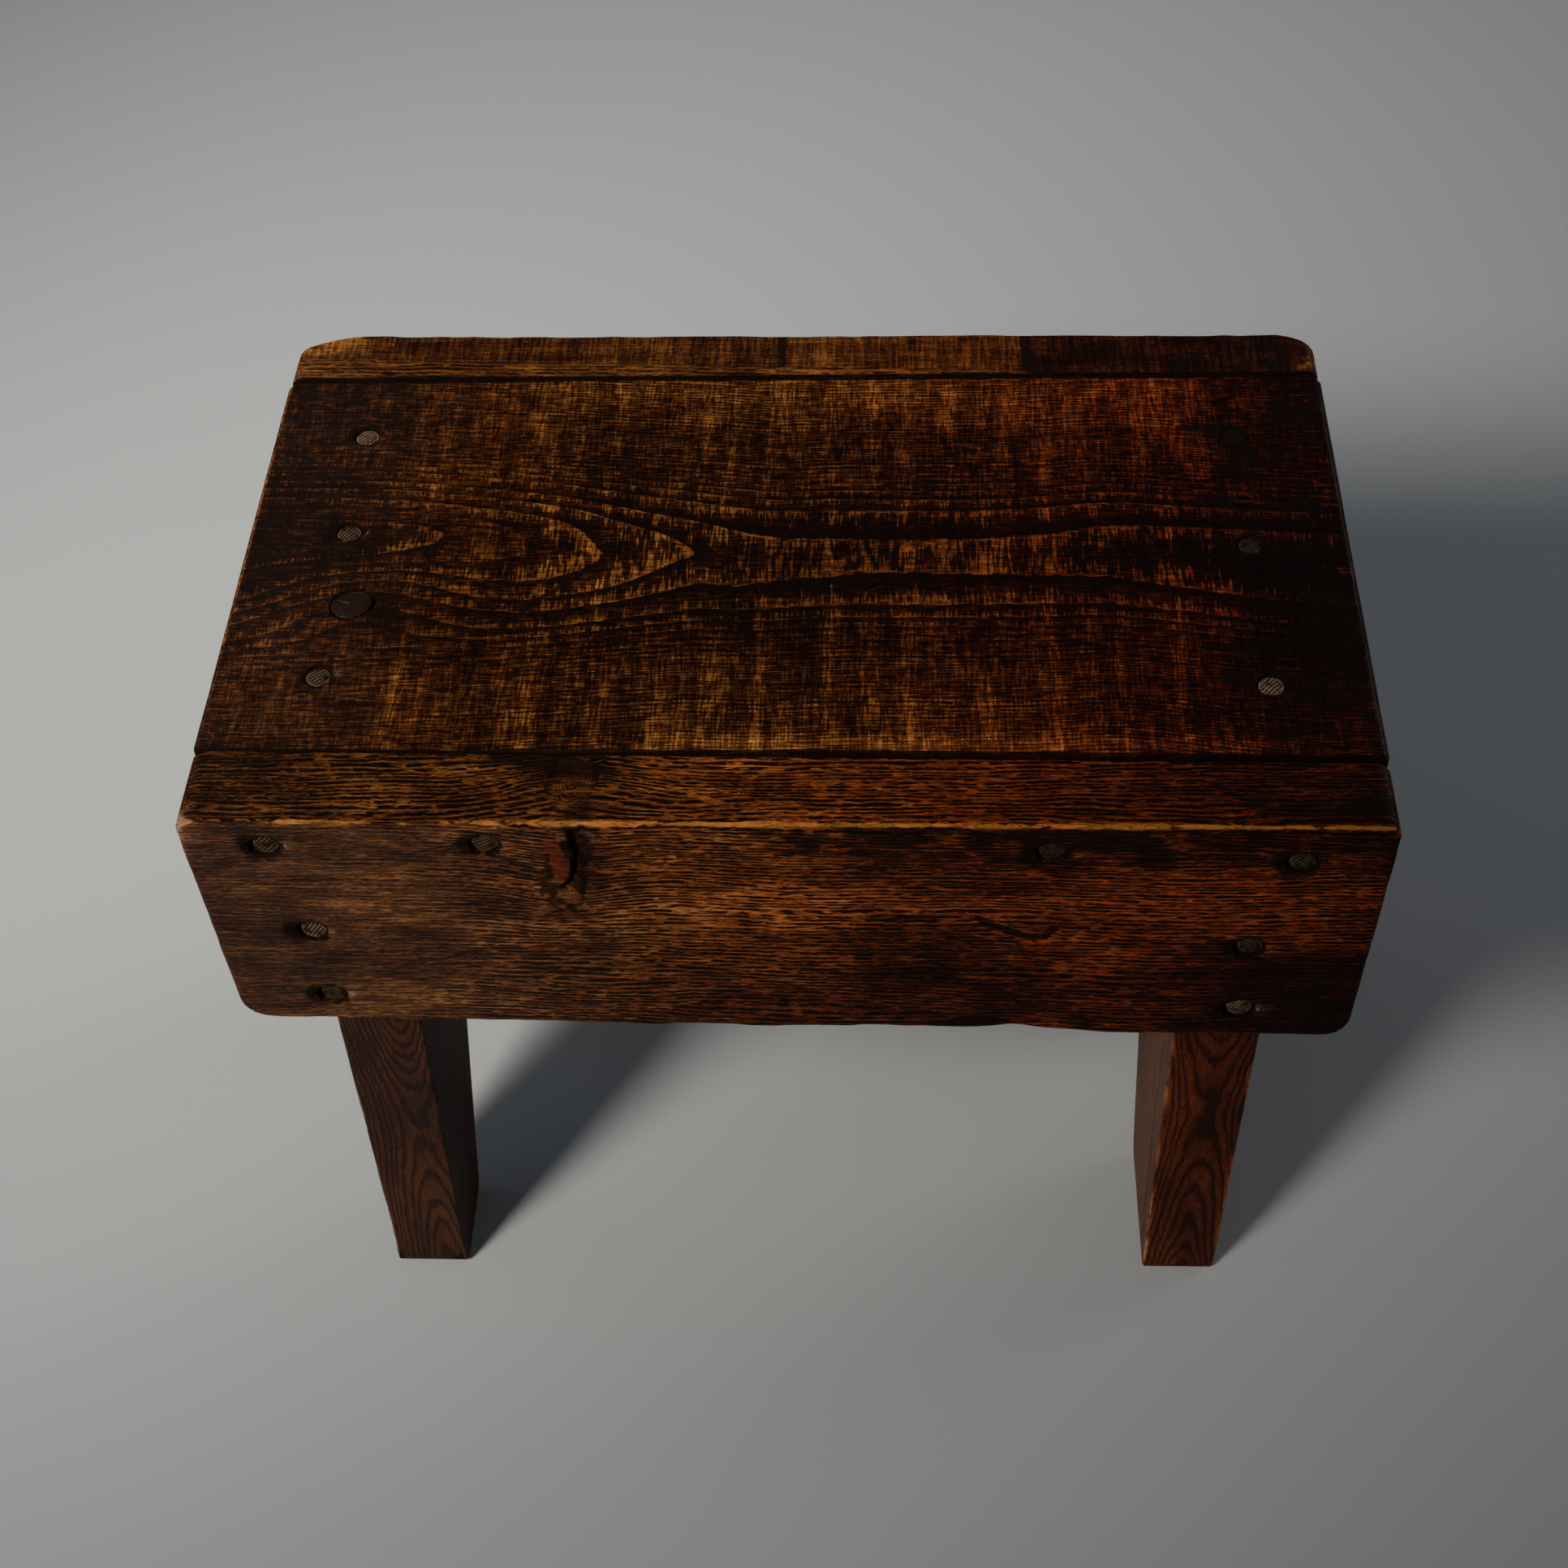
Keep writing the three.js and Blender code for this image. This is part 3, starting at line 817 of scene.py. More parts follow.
def plank_layers(points, normals):
    x, y, z = points.T
    top = smooth(0.4, 0.9, normals[:, 2])
    leaning = 0.6 * np.clip(y - 2, 0, 14) * smooth(-12, -80, x) * smooth(48, 18, y)
    sideways = np.interp(x, *np.transpose(SEAT_ARCH_ACROSS)) * smooth(24, 6, abs(y))
    pointed = -0.9 * (1 - np.exp(-abs(y - 1) / 4)) * smooth(-15, -30, x)
    shift = np.stack([leaning, sideways, pointed], axis=1)
    layers = ring_layers(points - shift, seat_log(), SEAT_KNOT)
    chevrons = smooth(30, 20, abs(y)) * smooth(-20, -34, x)
    layers["ring_width"] *= 1 - 0.45 * chevrons - 0.3 * (1 - chevrons) * smooth(50, 36, abs(y))

    uneven = x + 14 * noise(points, (30, 16, 30), 88, 2)
    end_grain = abs(normals[:, 0]) > 0.7
    tone = 0.30 * noise(points, (60, 34, 40), 91, 2) + 0.22 * noise(points, (6, 40, 40), 92, 2)
    tone += 0.30 * smooth(45, 85, y) * smooth(140, 100, abs(uneven)) + 0.08 * smooth(-35, -70, y)
    tone += 0.42 * smooth(-76, -81, y) * smooth(-60, -10, uneven) * smooth(172, 150, uneven)
    tone -= 0.20 * smooth(14, 8, abs(y)) * smooth(-20, 5, x) * smooth(120, 90, x)
    # The right end is darker: partly stain, partly painted shade where the light falls off towards
    # that end.
    tone -= 0.26 * smooth(115, 150, uneven) + 0.06 * smooth(-125, -160, uneven)
    tone += seat_spots(points, SEAT_TONES) + 0.22 * end_grain

    patches = smooth(0.1, 0.6, noise(points, (16, 12, 16), 95, 2))
    # The right end's dirt is partly painted shade where the light falls off.
    grime = smooth(125, 165, uneven) * (0.12 + 0.75 * patches)
    grime += 0.25 * patches * smooth(-115, -150, x)
    grime += 0.6 * nail_halo(points, TOP_NAILS, 7.0, -1.5) + seat_spots(points, SEAT_DIRT)
    grime += 1.4 * top * stroke(points + wandering(points, 5, 0.6, 98), SCRATCH, 1.5, (0, 1))
    grime = np.where(end_grain, 0.45 * grime, grime)
    # Painted shade: the underside is darker, and the side faces that look across the gaps at the
    # side boards are nearly black.
    grime = np.where(normals[:, 2] < -0.3, 0.45 + 0.2 * patches, grime)
    grime = np.where(abs(normals[:, 1]) > 0.3, 1.3, grime)

    sheltered_side = 99 - abs(y)
    gap = edge_gap([HALF_LENGTH - abs(x), HEIGHT - z, sheltered_side])
    rubbed = smooth(2.7, 1.0, gap) * smooth(-0.8, 0.2, noise(points, (10, 14, 10), 97))
    left_nails = named(TOP_NAILS, "left")
    torn = nail_halo(points, left_nails, 2.6, 4.8) * smooth(-0.2, 0.4, noise(points, 1.6, 99))
    fading = 1 - 0.4 * smooth(-60, -95, x) * smooth(5, 14, abs(y - 3))
    layers.update(
        tone=tone,
        edge=seat_edge_strength(layers["ring"]) * fading,
        streak=np.clip(seat_streaks(points), 0, 1.2) * top * smooth(175, 120, x),
        grime=np.clip(grime, 0, 1.3),
        red=smooth(-40, 140, x),
        # A greyish film with a painted sheen of bluish light on the left end of the top; grey torn
        # wood by the left nails.
        grey=0.35 * smooth(-95, -160, x) * top * (1 - rubbed) + torn,
        worn=rubbed * smooth(-100, -172, x) * smooth(-75, -30, y) + 1.1 * torn,
    )
    return layers


def apron_edge_gap(points, face_y):
    x, y, z = points.T
    drop, usual_cant = HEIGHT - z, 3.7
    end = HALF_LENGTH - usual_cant * drop / APRON_DEPTH["left"] - abs(x)
    return edge_gap([abs(y - face_y), end, np.minimum(drop, apron_depth(x) - drop)])


# Lighter patches on the front board's face: how strong, middle (x, z) and half widths
FRONT_PATCHES = (
    (0.30, (-18, 236), (40, 9)), (0.50, (128, 238), (45, 12)), (0.32, (45, 237), (30, 8)),
    (0.45, (-112, 229), (14, 3)), (0.20, (-128, 240), (11, 16)), (0.25, (-75, 242), (14, 5)),
)


def front_tone(points, top, face):
    """How light or dark the front board's wood is, apart from its grain."""
    x, _, z = points.T
    tone = 0.34 * noise(points, (40, 20, 16), 101, 2) + 0.22 * noise(points, (12, 10, 5), 102, 2)
    tone += top * (0.12 * smooth(-70, -30, x) - 0.18 * smooth(-20, -60, x))
    tone -= top * 0.60 * smooth(60, 150, x)
    hue_edge = smooth(-53, -49, x + 2 * noise(points, 12, 103)) * smooth(172, 180, z)
    own = 0.10 * hue_edge * smooth(26, 16, x) + 0.15 * smooth(80, 90, x) * smooth(125, 115, x)
    own -= 0.15 * smooth(-70, -120, x) + 0.14 * smooth(-120, -150, x)
    own -= 0.19 * smooth(85, 110, x) + 0.2 * smooth(135, 172, x)
    own -= 0.16 * smooth(16, 24, x) * smooth(82, 72, x) * smooth(235, 215, z)
    own -= 0.20 * smooth(222, 200, z) * smooth(-60, -10, x)
    own -= 0.22 * smooth(228, 210, z) * smooth(95, 150, x)
    for strength, (at_x, at_z), (wide, high) in FRONT_PATCHES:
        own += strength * blob(points, (at_x, FRONT, at_z), (wide, 40, high))
    return tone + face * own


def front_grime(points, normals, top, face, branch):
    """The dirt on the front board, apart from where it has since been rubbed off, and painted
    shade: a dark line under the chip's lifted edge, dark crescents in the dents at the left of the
    nails, and a darker underside.
    """
    x, y, z = points.T
    patches = smooth(0.0, 0.55, noise(points, (15, 8, 5), 105, 2))
    upper = face * smooth(248, 264, z) * smooth(-40, 20, x) * (1 - 0.4 * smooth(100, 130, x))
    grime = 1.1 * upper * (0.55 + 0.7 * noise(points, (7, 5, 2.6), 114, 2))
    grime += 0.5 * patches * face * smooth(25, 50, x) * smooth(220, 180, z)
    grime += 0.30 * patches + 0.8 * nail_halo(points, FRONT_NAILS, 5.5, -3.5)
    grime += 0.7 * smooth(10, 0, abs(x + 58)) * smooth(238, 246, z) * smooth(-100, -110, y)
    # Painted shadow: a dark line under the chip's lifted edge.
    chip = stroke(points + wandering(points, 4, 0.3, 113), CHIP, 2.1)
    grime += 2.0 * face * smooth(0.1, 0.5, chip)
    grime += face * branch * (0.5 + 0.6 * noise(points, (2.2, 2, 2.2), 117))
    grime += 1.3 * blob(points, (-78, -88, HEIGHT), (9, 2.5, 4))
    grime += 0.8 * top * blob(points, (-62, -92, HEIGHT), (17, 10, 30))
    grime += 0.5 * top * smooth(110, 170, x) * (0.4 + patches)
    # Painted shade on the board's underside.
    grime = np.where(normals[:, 2] < -0.5, 0.5, grime)
    # Painted shade: a dark crescent in the dent at the left of each nail.
    return grime + 1.9 * nail_halo(points, FRONT_NAILS, 2.5, -4.4)


def front_layers(points, normals):
    x = points[:, 0]
    top = smooth(0.4, 0.8, normals[:, 2])
    face = smooth(-0.4, -0.8, normals[:, 1])
    layers = ring_layers(points, apron_log(-1, 33), SPIKE_KNOT)
    branch = layers["branch"]
    gap = apron_edge_gap(points, FRONT)
    rag = noise(points, (7, 3, 3), 107) + 0.6 * noise(points, (2.5, 1.2, 1.2), 108)
    upper_edge = smooth(2.4 + 0.7 * rag, 0.8, gap)
    upper_edge *= blob(points, (0, FRONT + 1.5, HEIGHT), (math.inf, 4.5, 2.6))
    strength = 0.55 + 0.35 * smooth(-105, -70, x) + 0.3 * smooth(90, 135, x)
    worn = upper_edge * np.clip(strength * (1.0 + 0.4 * rag), 0, 1.2)
    worn += 0.40 * smooth(2.2, 0.5, gap) * smooth(-0.2, 0.5, noise(points, 9, 109))
    corner = blob(points, (-174, -112, 269), (4.5, 6, 6))
    wedge = face * smooth(0.1, 0.45, stroke(points, SPIKE_WEDGE, 3.4))
    frayed = named(FRONT_NAILS, "left", "lower", "mid_")
    frays = 0.85 * nail_halo(points, frayed, 3.4, 5.8) * smooth(-0.5, 0.2, noise(points, 2.4, 111))
    # Painted highlight: a light line just above the chip's lifted edge.
    lifted = face * stroke(points - (0, 0, 1.5), CHIP, 1.0)
    split = blob(points, (-55.5, FRONT, 267), (4.5, 8, 5)) + 0.7 * stroke(points, SPIKE_PITS, 2.6)
    pale = face * split * smooth(0, 0.4, noise(points, 1.8, 115))
    grime = front_grime(points, normals, top, face, branch)
    grime *= (1 - wedge) * (1 - 0.9 * upper_edge) * (1 - frays)
    plain = 0.9 * branch * (0.6 + 0.4 * face) + wedge + 0.7 * face * smooth(-70, -120, x)
    # A greyish film with a painted sheen of bluish light on the left of the board; grey bare wood
    # in the frays, the worn corner and the split.
    grey = 0.7 * smooth(-10, -130, x) * face + 0.15 * smooth(-110, -170, x)
    grey = np.clip(grey + frays + corner + 0.6 * pale, 0, 1)
    layers.update(
        tone=front_tone(points, top, face) - 0.15 * wedge,
        streak=0.1 * top,
        plain=np.clip(plain, 0, 1),
        # Painted shade: the inner face, inside the stool, is nearly black.
        grime=np.where(normals[:, 1] > 0.3, 1.3, np.clip(grime, 0, 1)),
        red=np.clip(smooth(-150, 110, x) + wedge, 0, 1),
        grey=grey * (1 - 0.8 * upper_edge),
        worn=np.clip(worn + 0.9 * corner + frays + 0.8 * pale + 0.7 * lifted, 0, 1.2),
    )
    return layers


# Deeper saw cuts across the back board's upper edge: where along it, and how dark
SAW_CUTS = ((-160, 0.25), (-61, 0.4), (-7, 1.2), (23, 0.6), (48, 0.3), (76, 1.3), (128, 0.4))


def back_layers(points, normals):
    x, y, _ = points.T
    top = smooth(0.4, 0.8, normals[:, 2])
    layers = ring_layers(points, apron_log(1, 43))
    planed = 101 - 0.029 * (x + 175)
    behind = smooth(-0.4, 0.4, y - planed)
    tone = 0.25 * noise(points, (40, 20, 16), 121, 2) - 0.34
    tone += 0.2 * noise(points, (7, 30, 30), 122) * behind
    tone += top * (0.22 * (1 - behind) + 0.10 - 0.40 * smooth(75, 77, x))
    marks = sum(dark * np.exp(-(((x - at) / 1.5) ** 2)) for at, dark in SAW_CUTS)
    grime = 0.3 * smooth(0.0, 0.6, noise(points, (15, 10, 8), 125, 2))
    grime += top * (marks * behind + 0.35 * smooth(120, 160, x))
    grime += 1.3 * blob(points, (-141, 92.5, HEIGHT), (2.4, 1.6, 3))
    grime += 0.55 * nail_halo(points, BACK_NAILS, 5.5, -2)
    # Painted shade on the board's underside.
    grime = np.where(normals[:, 2] < -0.5, 0.5, grime)
    gap = apron_edge_gap(points, BACK)
    rag = noise(points, (6, 4, 4), 127)
    bare_left = smooth(-140, -152, x + 0.35 * (y - 105)) * smooth(103, 108, y + 3 * rag)
    bare_right = smooth(160, 168, x) * smooth(0.0, 0.5, rag + 0.2)
    worn = 0.5 * smooth(2.6, 0.5, gap) * smooth(-0.2, 0.5, rag)
    layers.update(
        tone=tone,
        streak=0.9 * top * behind,
        plain=top * (0.45 + 0.5 * behind),
        # Painted shade: the inner face, inside the stool, is nearly black.
        grime=np.where(normals[:, 1] < -0.3, 1.3, np.clip(grime * (1 - bare_left), 0, 1.2)),
        red=0.55 * smooth(-60, 120, x),
        # A greyish film with a painted sheen of bluish light on the left end.
        grey=0.35 * smooth(-120, -170, x) * (1 - bare_left),
        worn=np.clip(worn + top * (0.62 * bare_left + 0.7 * bare_right), 0, 1),
    )
    return layers


# Each leg's stain and painted light: how light it is overall, how much lighter its +X face is as
# painted light (a negative value is painted shade, on the left leg's shaded inner face), how red,
# and how grey with a painted sheen
LEG_STAIN_AND_LIGHT = {"left": (-0.14, -0.25, 0.25, 0.8), "right": (0.02, 0.2, 0.75, 0.15)}


def leg_layers(points, normals, name):
    x, y, z = points.T
    layers = ring_layers(points, leg_log(name, y.min() + 3))
    light, right_face_light_and_shade, red, grey = LEG_STAIN_AND_LIGHT[name]
    left_face, right_face = normals[:, 0] < -0.5, normals[:, 0] > 0.5
    centre = LEGS[name]["side"] * LEG_CENTRE
    thickness = LEG_THICKNESS_FOOT + (LEG_THICKNESS_TOP - LEG_THICKNESS_FOOT) * z / LEG_TOP
    gap = edge_gap([thickness / 2 - abs(x - centre), y - y.min(), y.max() - y])
    scuffs = smooth(0.15, 0.6, noise(points, (5, 12, 26), 133, 2))
    grime = 0.28 * scuffs + 0.35 * smooth(14, 0, z) * (0.5 + scuffs)
    # Painted shade: the undersides, and the leg's top under the seat, are darkened.
    under_cut = (normals[:, 2] < -0.2) | (z > LEG_TOP - 1)
    tone = 0.2 * noise(points, (14, 30, 50), 131, 2) + light
    layers.update(
        # Painted light: the -X faces, towards the lamp, are lighter, less red and greyer with a
        # painted sheen, and the +X faces get their painted light and shade.
        tone=tone + 0.25 * left_face + right_face_light_and_shade * right_face,
        streak=np.full(len(points), 0.2),
        grime=np.clip(np.where(under_cut, 0.45, grime), 0, 1),
        red=red - 0.5 * left_face,
        grey=np.clip(grey + 0.7 * left_face, 0, 1),
        worn=0.8 * smooth(2.6, 0.4, gap) * smooth(-0.35, 0.4, noise(points, (4, 4, 12), 137)),
    )
    return layers


# --- materials ---


class Shader:
    """A material put together in small steps. Places and heights in it are in millimetres."""

    def __init__(self, name):
        self.material = bpy.data.materials.new(name)
        self.material.use_nodes = True
        self.tree = self.material.node_tree
        self.surface = self.tree.nodes["Principled BSDF"]
        where = self.tree.nodes.new("ShaderNodeTexCoord").outputs["Object"]
        scaled = {0: where, "Scale": 1 / MM}
        self.place = self.add("ShaderNodeVectorMath", scaled, operation="SCALE")

    def add(self, kind, inputs, output=0, **settings):
        made = self.tree.nodes.new(kind)
        for key, value in settings.items():
            setattr(made, key, value)
        for key, value in inputs.items():
            self.put(made.inputs[key], value)
        return made.outputs[output]

    def put(self, socket, value):
        if isinstance(value, bpy.types.NodeSocket):
            self.tree.links.new(value, socket)
        else:
            socket.default_value = value

    def layer(self, name):
        return self.add("ShaderNodeAttribute", {}, "Fac", attribute_name=name)

    def math(self, operation, a, b):
        return self.add("ShaderNodeMath", {0: a, 1: b}, operation=operation)

    def times(self, a, b):
        return self.math("MULTIPLY", a, b)

    def total(self, *parts):
        """The sum of (weight, value) pairs and plain numbers."""
        result = 0.0
        for part in parts:
            if isinstance(part, tuple):
                part = self.times(part[1], part[0])
            result = self.math("ADD", part, result)
        return result

    def smooth(self, low, high, value):
        """Rises from 0 at low to 1 at high, or falls if low is above high."""
        rising = {"Value": value, "From Min": min(low, high), "From Max": max(low, high)}
        if low > high:
            rising.update({"To Min": 1.0, "To Max": 0.0})
        return self.add("ShaderNodeMapRange", rising, interpolation_type="SMOOTHSTEP")

    def noise(self, size, detail=2.0, offset=0.0):
        shrink = tuple(1 / s for s in size)
        place = self.add("ShaderNodeVectorMath", {0: self.place, 1: shrink}, operation="MULTIPLY")
        moved = self.add("ShaderNodeVectorMath", {0: place, 1: (offset,) * 3}, operation="ADD")
        return self.add("ShaderNodeTexNoise", {"Vector": moved, "Scale": 1.0, "Detail": detail})

    def grain(self, size, detail=2.0, offset=0.0):
        """Noise spread out to fill 0 to 1."""
        return self.smooth(0.32, 0.68, self.noise(size, detail, offset))

    def mix(self, share, a, b, blend="MIX"):
        inputs = {0: share, 6: a, 7: b}
        return self.add("ShaderNodeMix", inputs, 2, data_type="RGBA", blend_type=blend)

    def ramp(self, value, stops):
        made = self.tree.nodes.new("ShaderNodeValToRGB")
        for position, _ in stops[1:-1]:
            made.color_ramp.elements.new(position)
        for element, (_, colour) in zip(made.color_ramp.elements, stops):
            element.color = (*colour, 1)
        self.put(made.inputs["Fac"], value)
        return made.outputs["Color"]

    def finish(self, colour, roughness, specular, height=None, **others):
        """Sets what the surface looks like, with its relief in mm, and gives the material."""
        looks = {"Base Color": colour, "Roughness": roughness, "Specular IOR Level": specular}
        if height is not None:
            bumped = {"Height": height, "Distance": MM, "Strength": 1.0}
            looks["Normal"] = self.add("ShaderNodeBump", bumped)
        for name, value in {**looks, **others}.items():
            self.put(self.surface.inputs[name], value)
        return self.material


STAINED = [
    (0.0, (0.0030, 0.0010, 0.0004)),
    (0.20, (0.0160, 0.0030, 0.0004)),
    (0.40, (0.0650, 0.0165, 0.0018)),
    (0.60, (0.1750, 0.0540, 0.0060)),
    (0.80, (0.3600, 0.1350, 0.0190)),
    (1.0, (0.5600, 0.2700, 0.0700)),
]
REDDENED = (1.0, 0.46, 0.26, 1)
# The blue tint and pale haze of a greyish film and its painted sheen of bluish light
SHEEN_BLUE = (0.92, 1.2, 4.2, 1)
FILM_AND_SHEEN_GREY = (0.075, 0.052, 0.042, 1)
BARE = (0.42, 0.145, 0.013, 1)
GREY_BARE = (0.34, 0.26, 0.20, 1)
WARM_GLOSS = (1.0, 0.72, 0.5, 1)
# The dark colour of dirt, also used for painted shade
SOOT_AND_SHADE = (0.0040, 0.0016, 0.0010, 1)
OLD_KNOT = (0.016, 0.010, 0.006, 1)
DARK_OXIDE, BROWN_OXIDE = (0.006, 0.0022, 0.0012, 1), (0.036, 0.016, 0.008, 1)
RUBBED_IRON = (0.38, 0.235, 0.125, 1)
GROOVE_DIRT = (0.006, 0.004, 0.003, 1)


def finish_wood(wood, lightness, height):
    """Colours, gloss and relief shared by every stained board. lightness runs from 0 in the
    dirtiest hollow to 1 on bare wood."""
    worn = wood.layer("worn")
    speck = wood.noise((2.6, 2.6, 2.6), 3)
    lightness = wood.total((1, lightness), (0.50, wood.layer("tone")), (0.30, worn))
    colour = wood.ramp(lightness, STAINED)
    colour = wood.mix(wood.layer("red"), colour, wood.mix(1.0, colour, REDDENED, "MULTIPLY"))
    # A greyish film with a painted sheen of bluish reflected light: the colour is blued and mixed
    # towards a pale haze. The same layer turns bare wood grey.
    grey = wood.layer("grey")
    film_and_sheen = wood.mix(0.25, wood.mix(1.0, colour, SHEEN_BLUE, "MULTIPLY"), FILM_AND_SHEEN_GREY)
    colour = wood.mix(wood.times(grey, 0.6), colour, film_and_sheen)
    bare = wood.smooth(0.85, 1.1, wood.total((1, worn), (0.9, speck), -0.25))
    colour = wood.mix(wood.times(bare, 0.7), colour, wood.mix(grey, BARE, GREY_BARE))
    # Dirt and painted shade darken the wood towards the soot colour.
    dirt_and_shade = wood.total((1.0, wood.layer("grime")), (1.0, wood.noise((5, 3, 3), 4, 9)), -0.5)
    dirt_and_shade = wood.times(wood.smooth(0.1, 0.8, dirt_and_shade), 0.92)
    gloss = wood.total(0.52, (0.16, dirt_and_shade), (-0.12, lightness), (0.12, speck))
    tint = {"Specular Tint": WARM_GLOSS}
    return wood.finish(wood.mix(dirt_and_shade, colour, SOOT_AND_SHADE), gloss, 0.06, height, **tint)


def seat_wood():
    """The seat's rough-sawn top: worn ring lines with sawn teeth standing on them."""
    wood = Shader("seat_wood")
    wander = wood.noise((4, 3, 3), 3, 3)
    part = wood.math("FRACT", wood.total((1, wood.layer("ring")), (0.16, wander), -0.08), 0.0)
    width = wood.layer("ring_width")
    inward = wood.times(wood.math("SUBTRACT", 1.0, part), width)
    outward = wood.times(part, width)
    streak, edge = wood.layer("streak"), wood.layer("edge")
    comb = wood.grain((0.85, 9, 9), 1, 5)
    cluster = wood.grain((3.6, 20, 20), 2, 6)
    reach = wood.total(
        (0.85, comb), (0.45, cluster), (0.35, streak), (-0.20, inward), (0.35, part), -0.24
    )
    teeth = wood.times(wood.smooth(0.66, 0.86, reach), wood.total((0.75, edge), (0.4, streak)))
    broken = wood.grain((9, 3, 3), 2, 7)
    line = wood.times(wood.smooth(0.38, 0.10, inward), broken)
    raised = wood.math("MAXIMUM", teeth, wood.times(line, edge))
    fibre = wood.grain((6, 0.75, 0.75), 2, 11)
    sawn = wood.grain((0.8, 2.4, 2.4), 2, 13)
    coarse = wood.grain((1.8, 9, 9), 3, 14)
    late = wood.times(wood.smooth(2.4, 0.0, outward), wood.smooth(0.75, 0.1, part))
    late = wood.times(late, edge)
    lightness = wood.total(
        -0.16, (0.42, raised), (0.33, fibre), (0.15, sawn), (0.08, coarse), (0.12, streak),
        (-0.17, late),
    )
    height = wood.total((0.14, raised), (0.05, fibre), (0.08, sawn), (0.06, coarse))
    return finish_wood(wood, lightness, height)


def apron_wood():
    """The side boards' faces: fine straight grain with dirt caught in broken lines along it."""
    wood = Shader("apron_wood")
    wander = wood.noise((8, 2.1, 2.1), 3, 3)
    ring = wood.math("FRACT", wood.total((1, wood.layer("ring")), (0.8, wander)), 0.0)
    hollow = wood.times(wood.smooth(0.0, 0.18, ring), wood.smooth(0.74, 0.54, ring))
    broken = wood.smooth(0.42, 0.49, wood.noise((5, 1.2, 1.2), 4, 7))
    dense = wood.total(0.45, (0.55, wood.grain((16, 5, 5), 2, 23)))
    sawn_across = wood.layer("streak")
    dash = wood.times(wood.times(hollow, broken), dense)
    dash = wood.times(dash, wood.math("SUBTRACT", 1.0, wood.layer("plain")))
    fibre = wood.grain((12, 0.5, 0.5), 2, 11)
    blotch = wood.grain((22, 4.5, 4.5), 3, 15)
    rough = wood.grain((2.2, 0.6, 0.6), 2, 21)
    across = wood.times(sawn_across, wood.grain((0.9, 12, 12), 2, 17))
    pitted = wood.smooth(0.60, 0.68, wood.noise((2.8, 1.2, 1.2), 3, 19))
    relief = wood.total(
        (-0.80, dash), (-0.13, pitted), (0.20, rough), (0.28, across), (-0.18, sawn_across)
    )
    lightness = wood.total(0.25, relief, (0.20, fibre), (0.16, blotch))
    return finish_wood(wood, lightness, wood.total((0.9, relief), (0.08, fibre)))


def leg_wood():
    """The legs' edges and faces: broad wavy rings up the grain, with dark late lines."""
    wood = Shader("leg_wood")
    wander = wood.noise((4, 4, 11), 2, 3)
    ring = wood.math("FRACT", wood.total((1, wood.layer("ring")), (0.8, wander)), 0.0)
    dark = wood.times(wood.smooth(0.40, 0.72, ring), wood.smooth(1.0, 0.86, ring))
    fibre = wood.grain((0.5, 0.5, 7), 2, 11)
    blotch = wood.grain((5, 5, 18), 3, 15)
    rough = wood.grain((0.9, 0.9, 1.8), 2, 21)
    lightness = wood.total(0.26, (-0.20, dark), (0.10, fibre), (0.08, blotch), (0.09, rough))
    return finish_wood(wood, lightness, wood.total((-0.14, dark), (0.05, fibre), (0.06, rough)))


def knot_wood():
    """The loose knot: dark, hard and polished, with fine rings and a dirty crack."""
    wood = Shader("knot_wood")
    ring = wood.math("FRACT", wood.layer("ring"), 0.0)
    line = wood.smooth(0.3, 0.6, wood.math("PINGPONG", ring, 0.5))
    mottle = wood.noise((1.6, 1.6, 6), 3)
    value = wood.total((0.7, mottle), (0.12, line), (-0.25, wood.layer("crack")), -0.23)
    colour = wood.mix(0.35, wood.ramp(value, STAINED), OLD_KNOT)
    height = wood.total((0.05, line), (0.08, mottle))
    return wood.finish(colour, wood.total(0.38, (0.2, mottle)), 0.12, height)


def nail_iron():
    """Old wire nails: brown oxide in the hatching, rubbed metal on its ridges."""
    iron = Shader("nail_iron")
    patch = iron.noise((2.2, 2.2, 2.2), 3)
    groove, polish = iron.layer("hatch"), iron.layer("polish")
    rubbed = iron.times(iron.smooth(0.35, 0.05, groove), iron.smooth(0.30, 0.6, patch))
    rubbed = iron.times(rubbed, polish)
    oxide = iron.times(patch, iron.total(0.25, (1.5, polish)))
    colour = iron.mix(rubbed, iron.mix(oxide, DARK_OXIDE, BROWN_OXIDE), RUBBED_IRON)
    colour = iron.mix(iron.smooth(0.15, 0.6, groove), colour, GROOVE_DIRT)
    height = iron.total((0.05, patch), (0.03, iron.noise((0.5, 0.5, 0.5), 2, 4)))
    metal = iron.total((0.45, rubbed), 0.03)
    roughness = iron.total((-0.18, rubbed), 0.62)
    return iron.finish(colour, roughness, 0.06, height, Metallic=metal)


# --- putting the stool together ---


def finish_board(board, node, material, nail_groups, layers, more_cutters=()):
    """Cuts a board's holes and gives it its layers, its material and its place in the frame."""
    cutters = [nail_holes_cutter(group, 200 + 17 * k) for k, group in enumerate(nail_groups)]
    carve(board, cutters + list(more_cutters))
    points = points_of(board)
    found = layers(points, read_points(board, "normal"))
    # Painted shade: the walls and rims of the nails' holes are darkened.
    rims = nail_holes(points, sum(nail_groups, []))
    found["grime"] = np.where(rims, np.maximum(found["grime"], 1.1), found["grime"])
    finish_piece(board, node, material, 38, found)


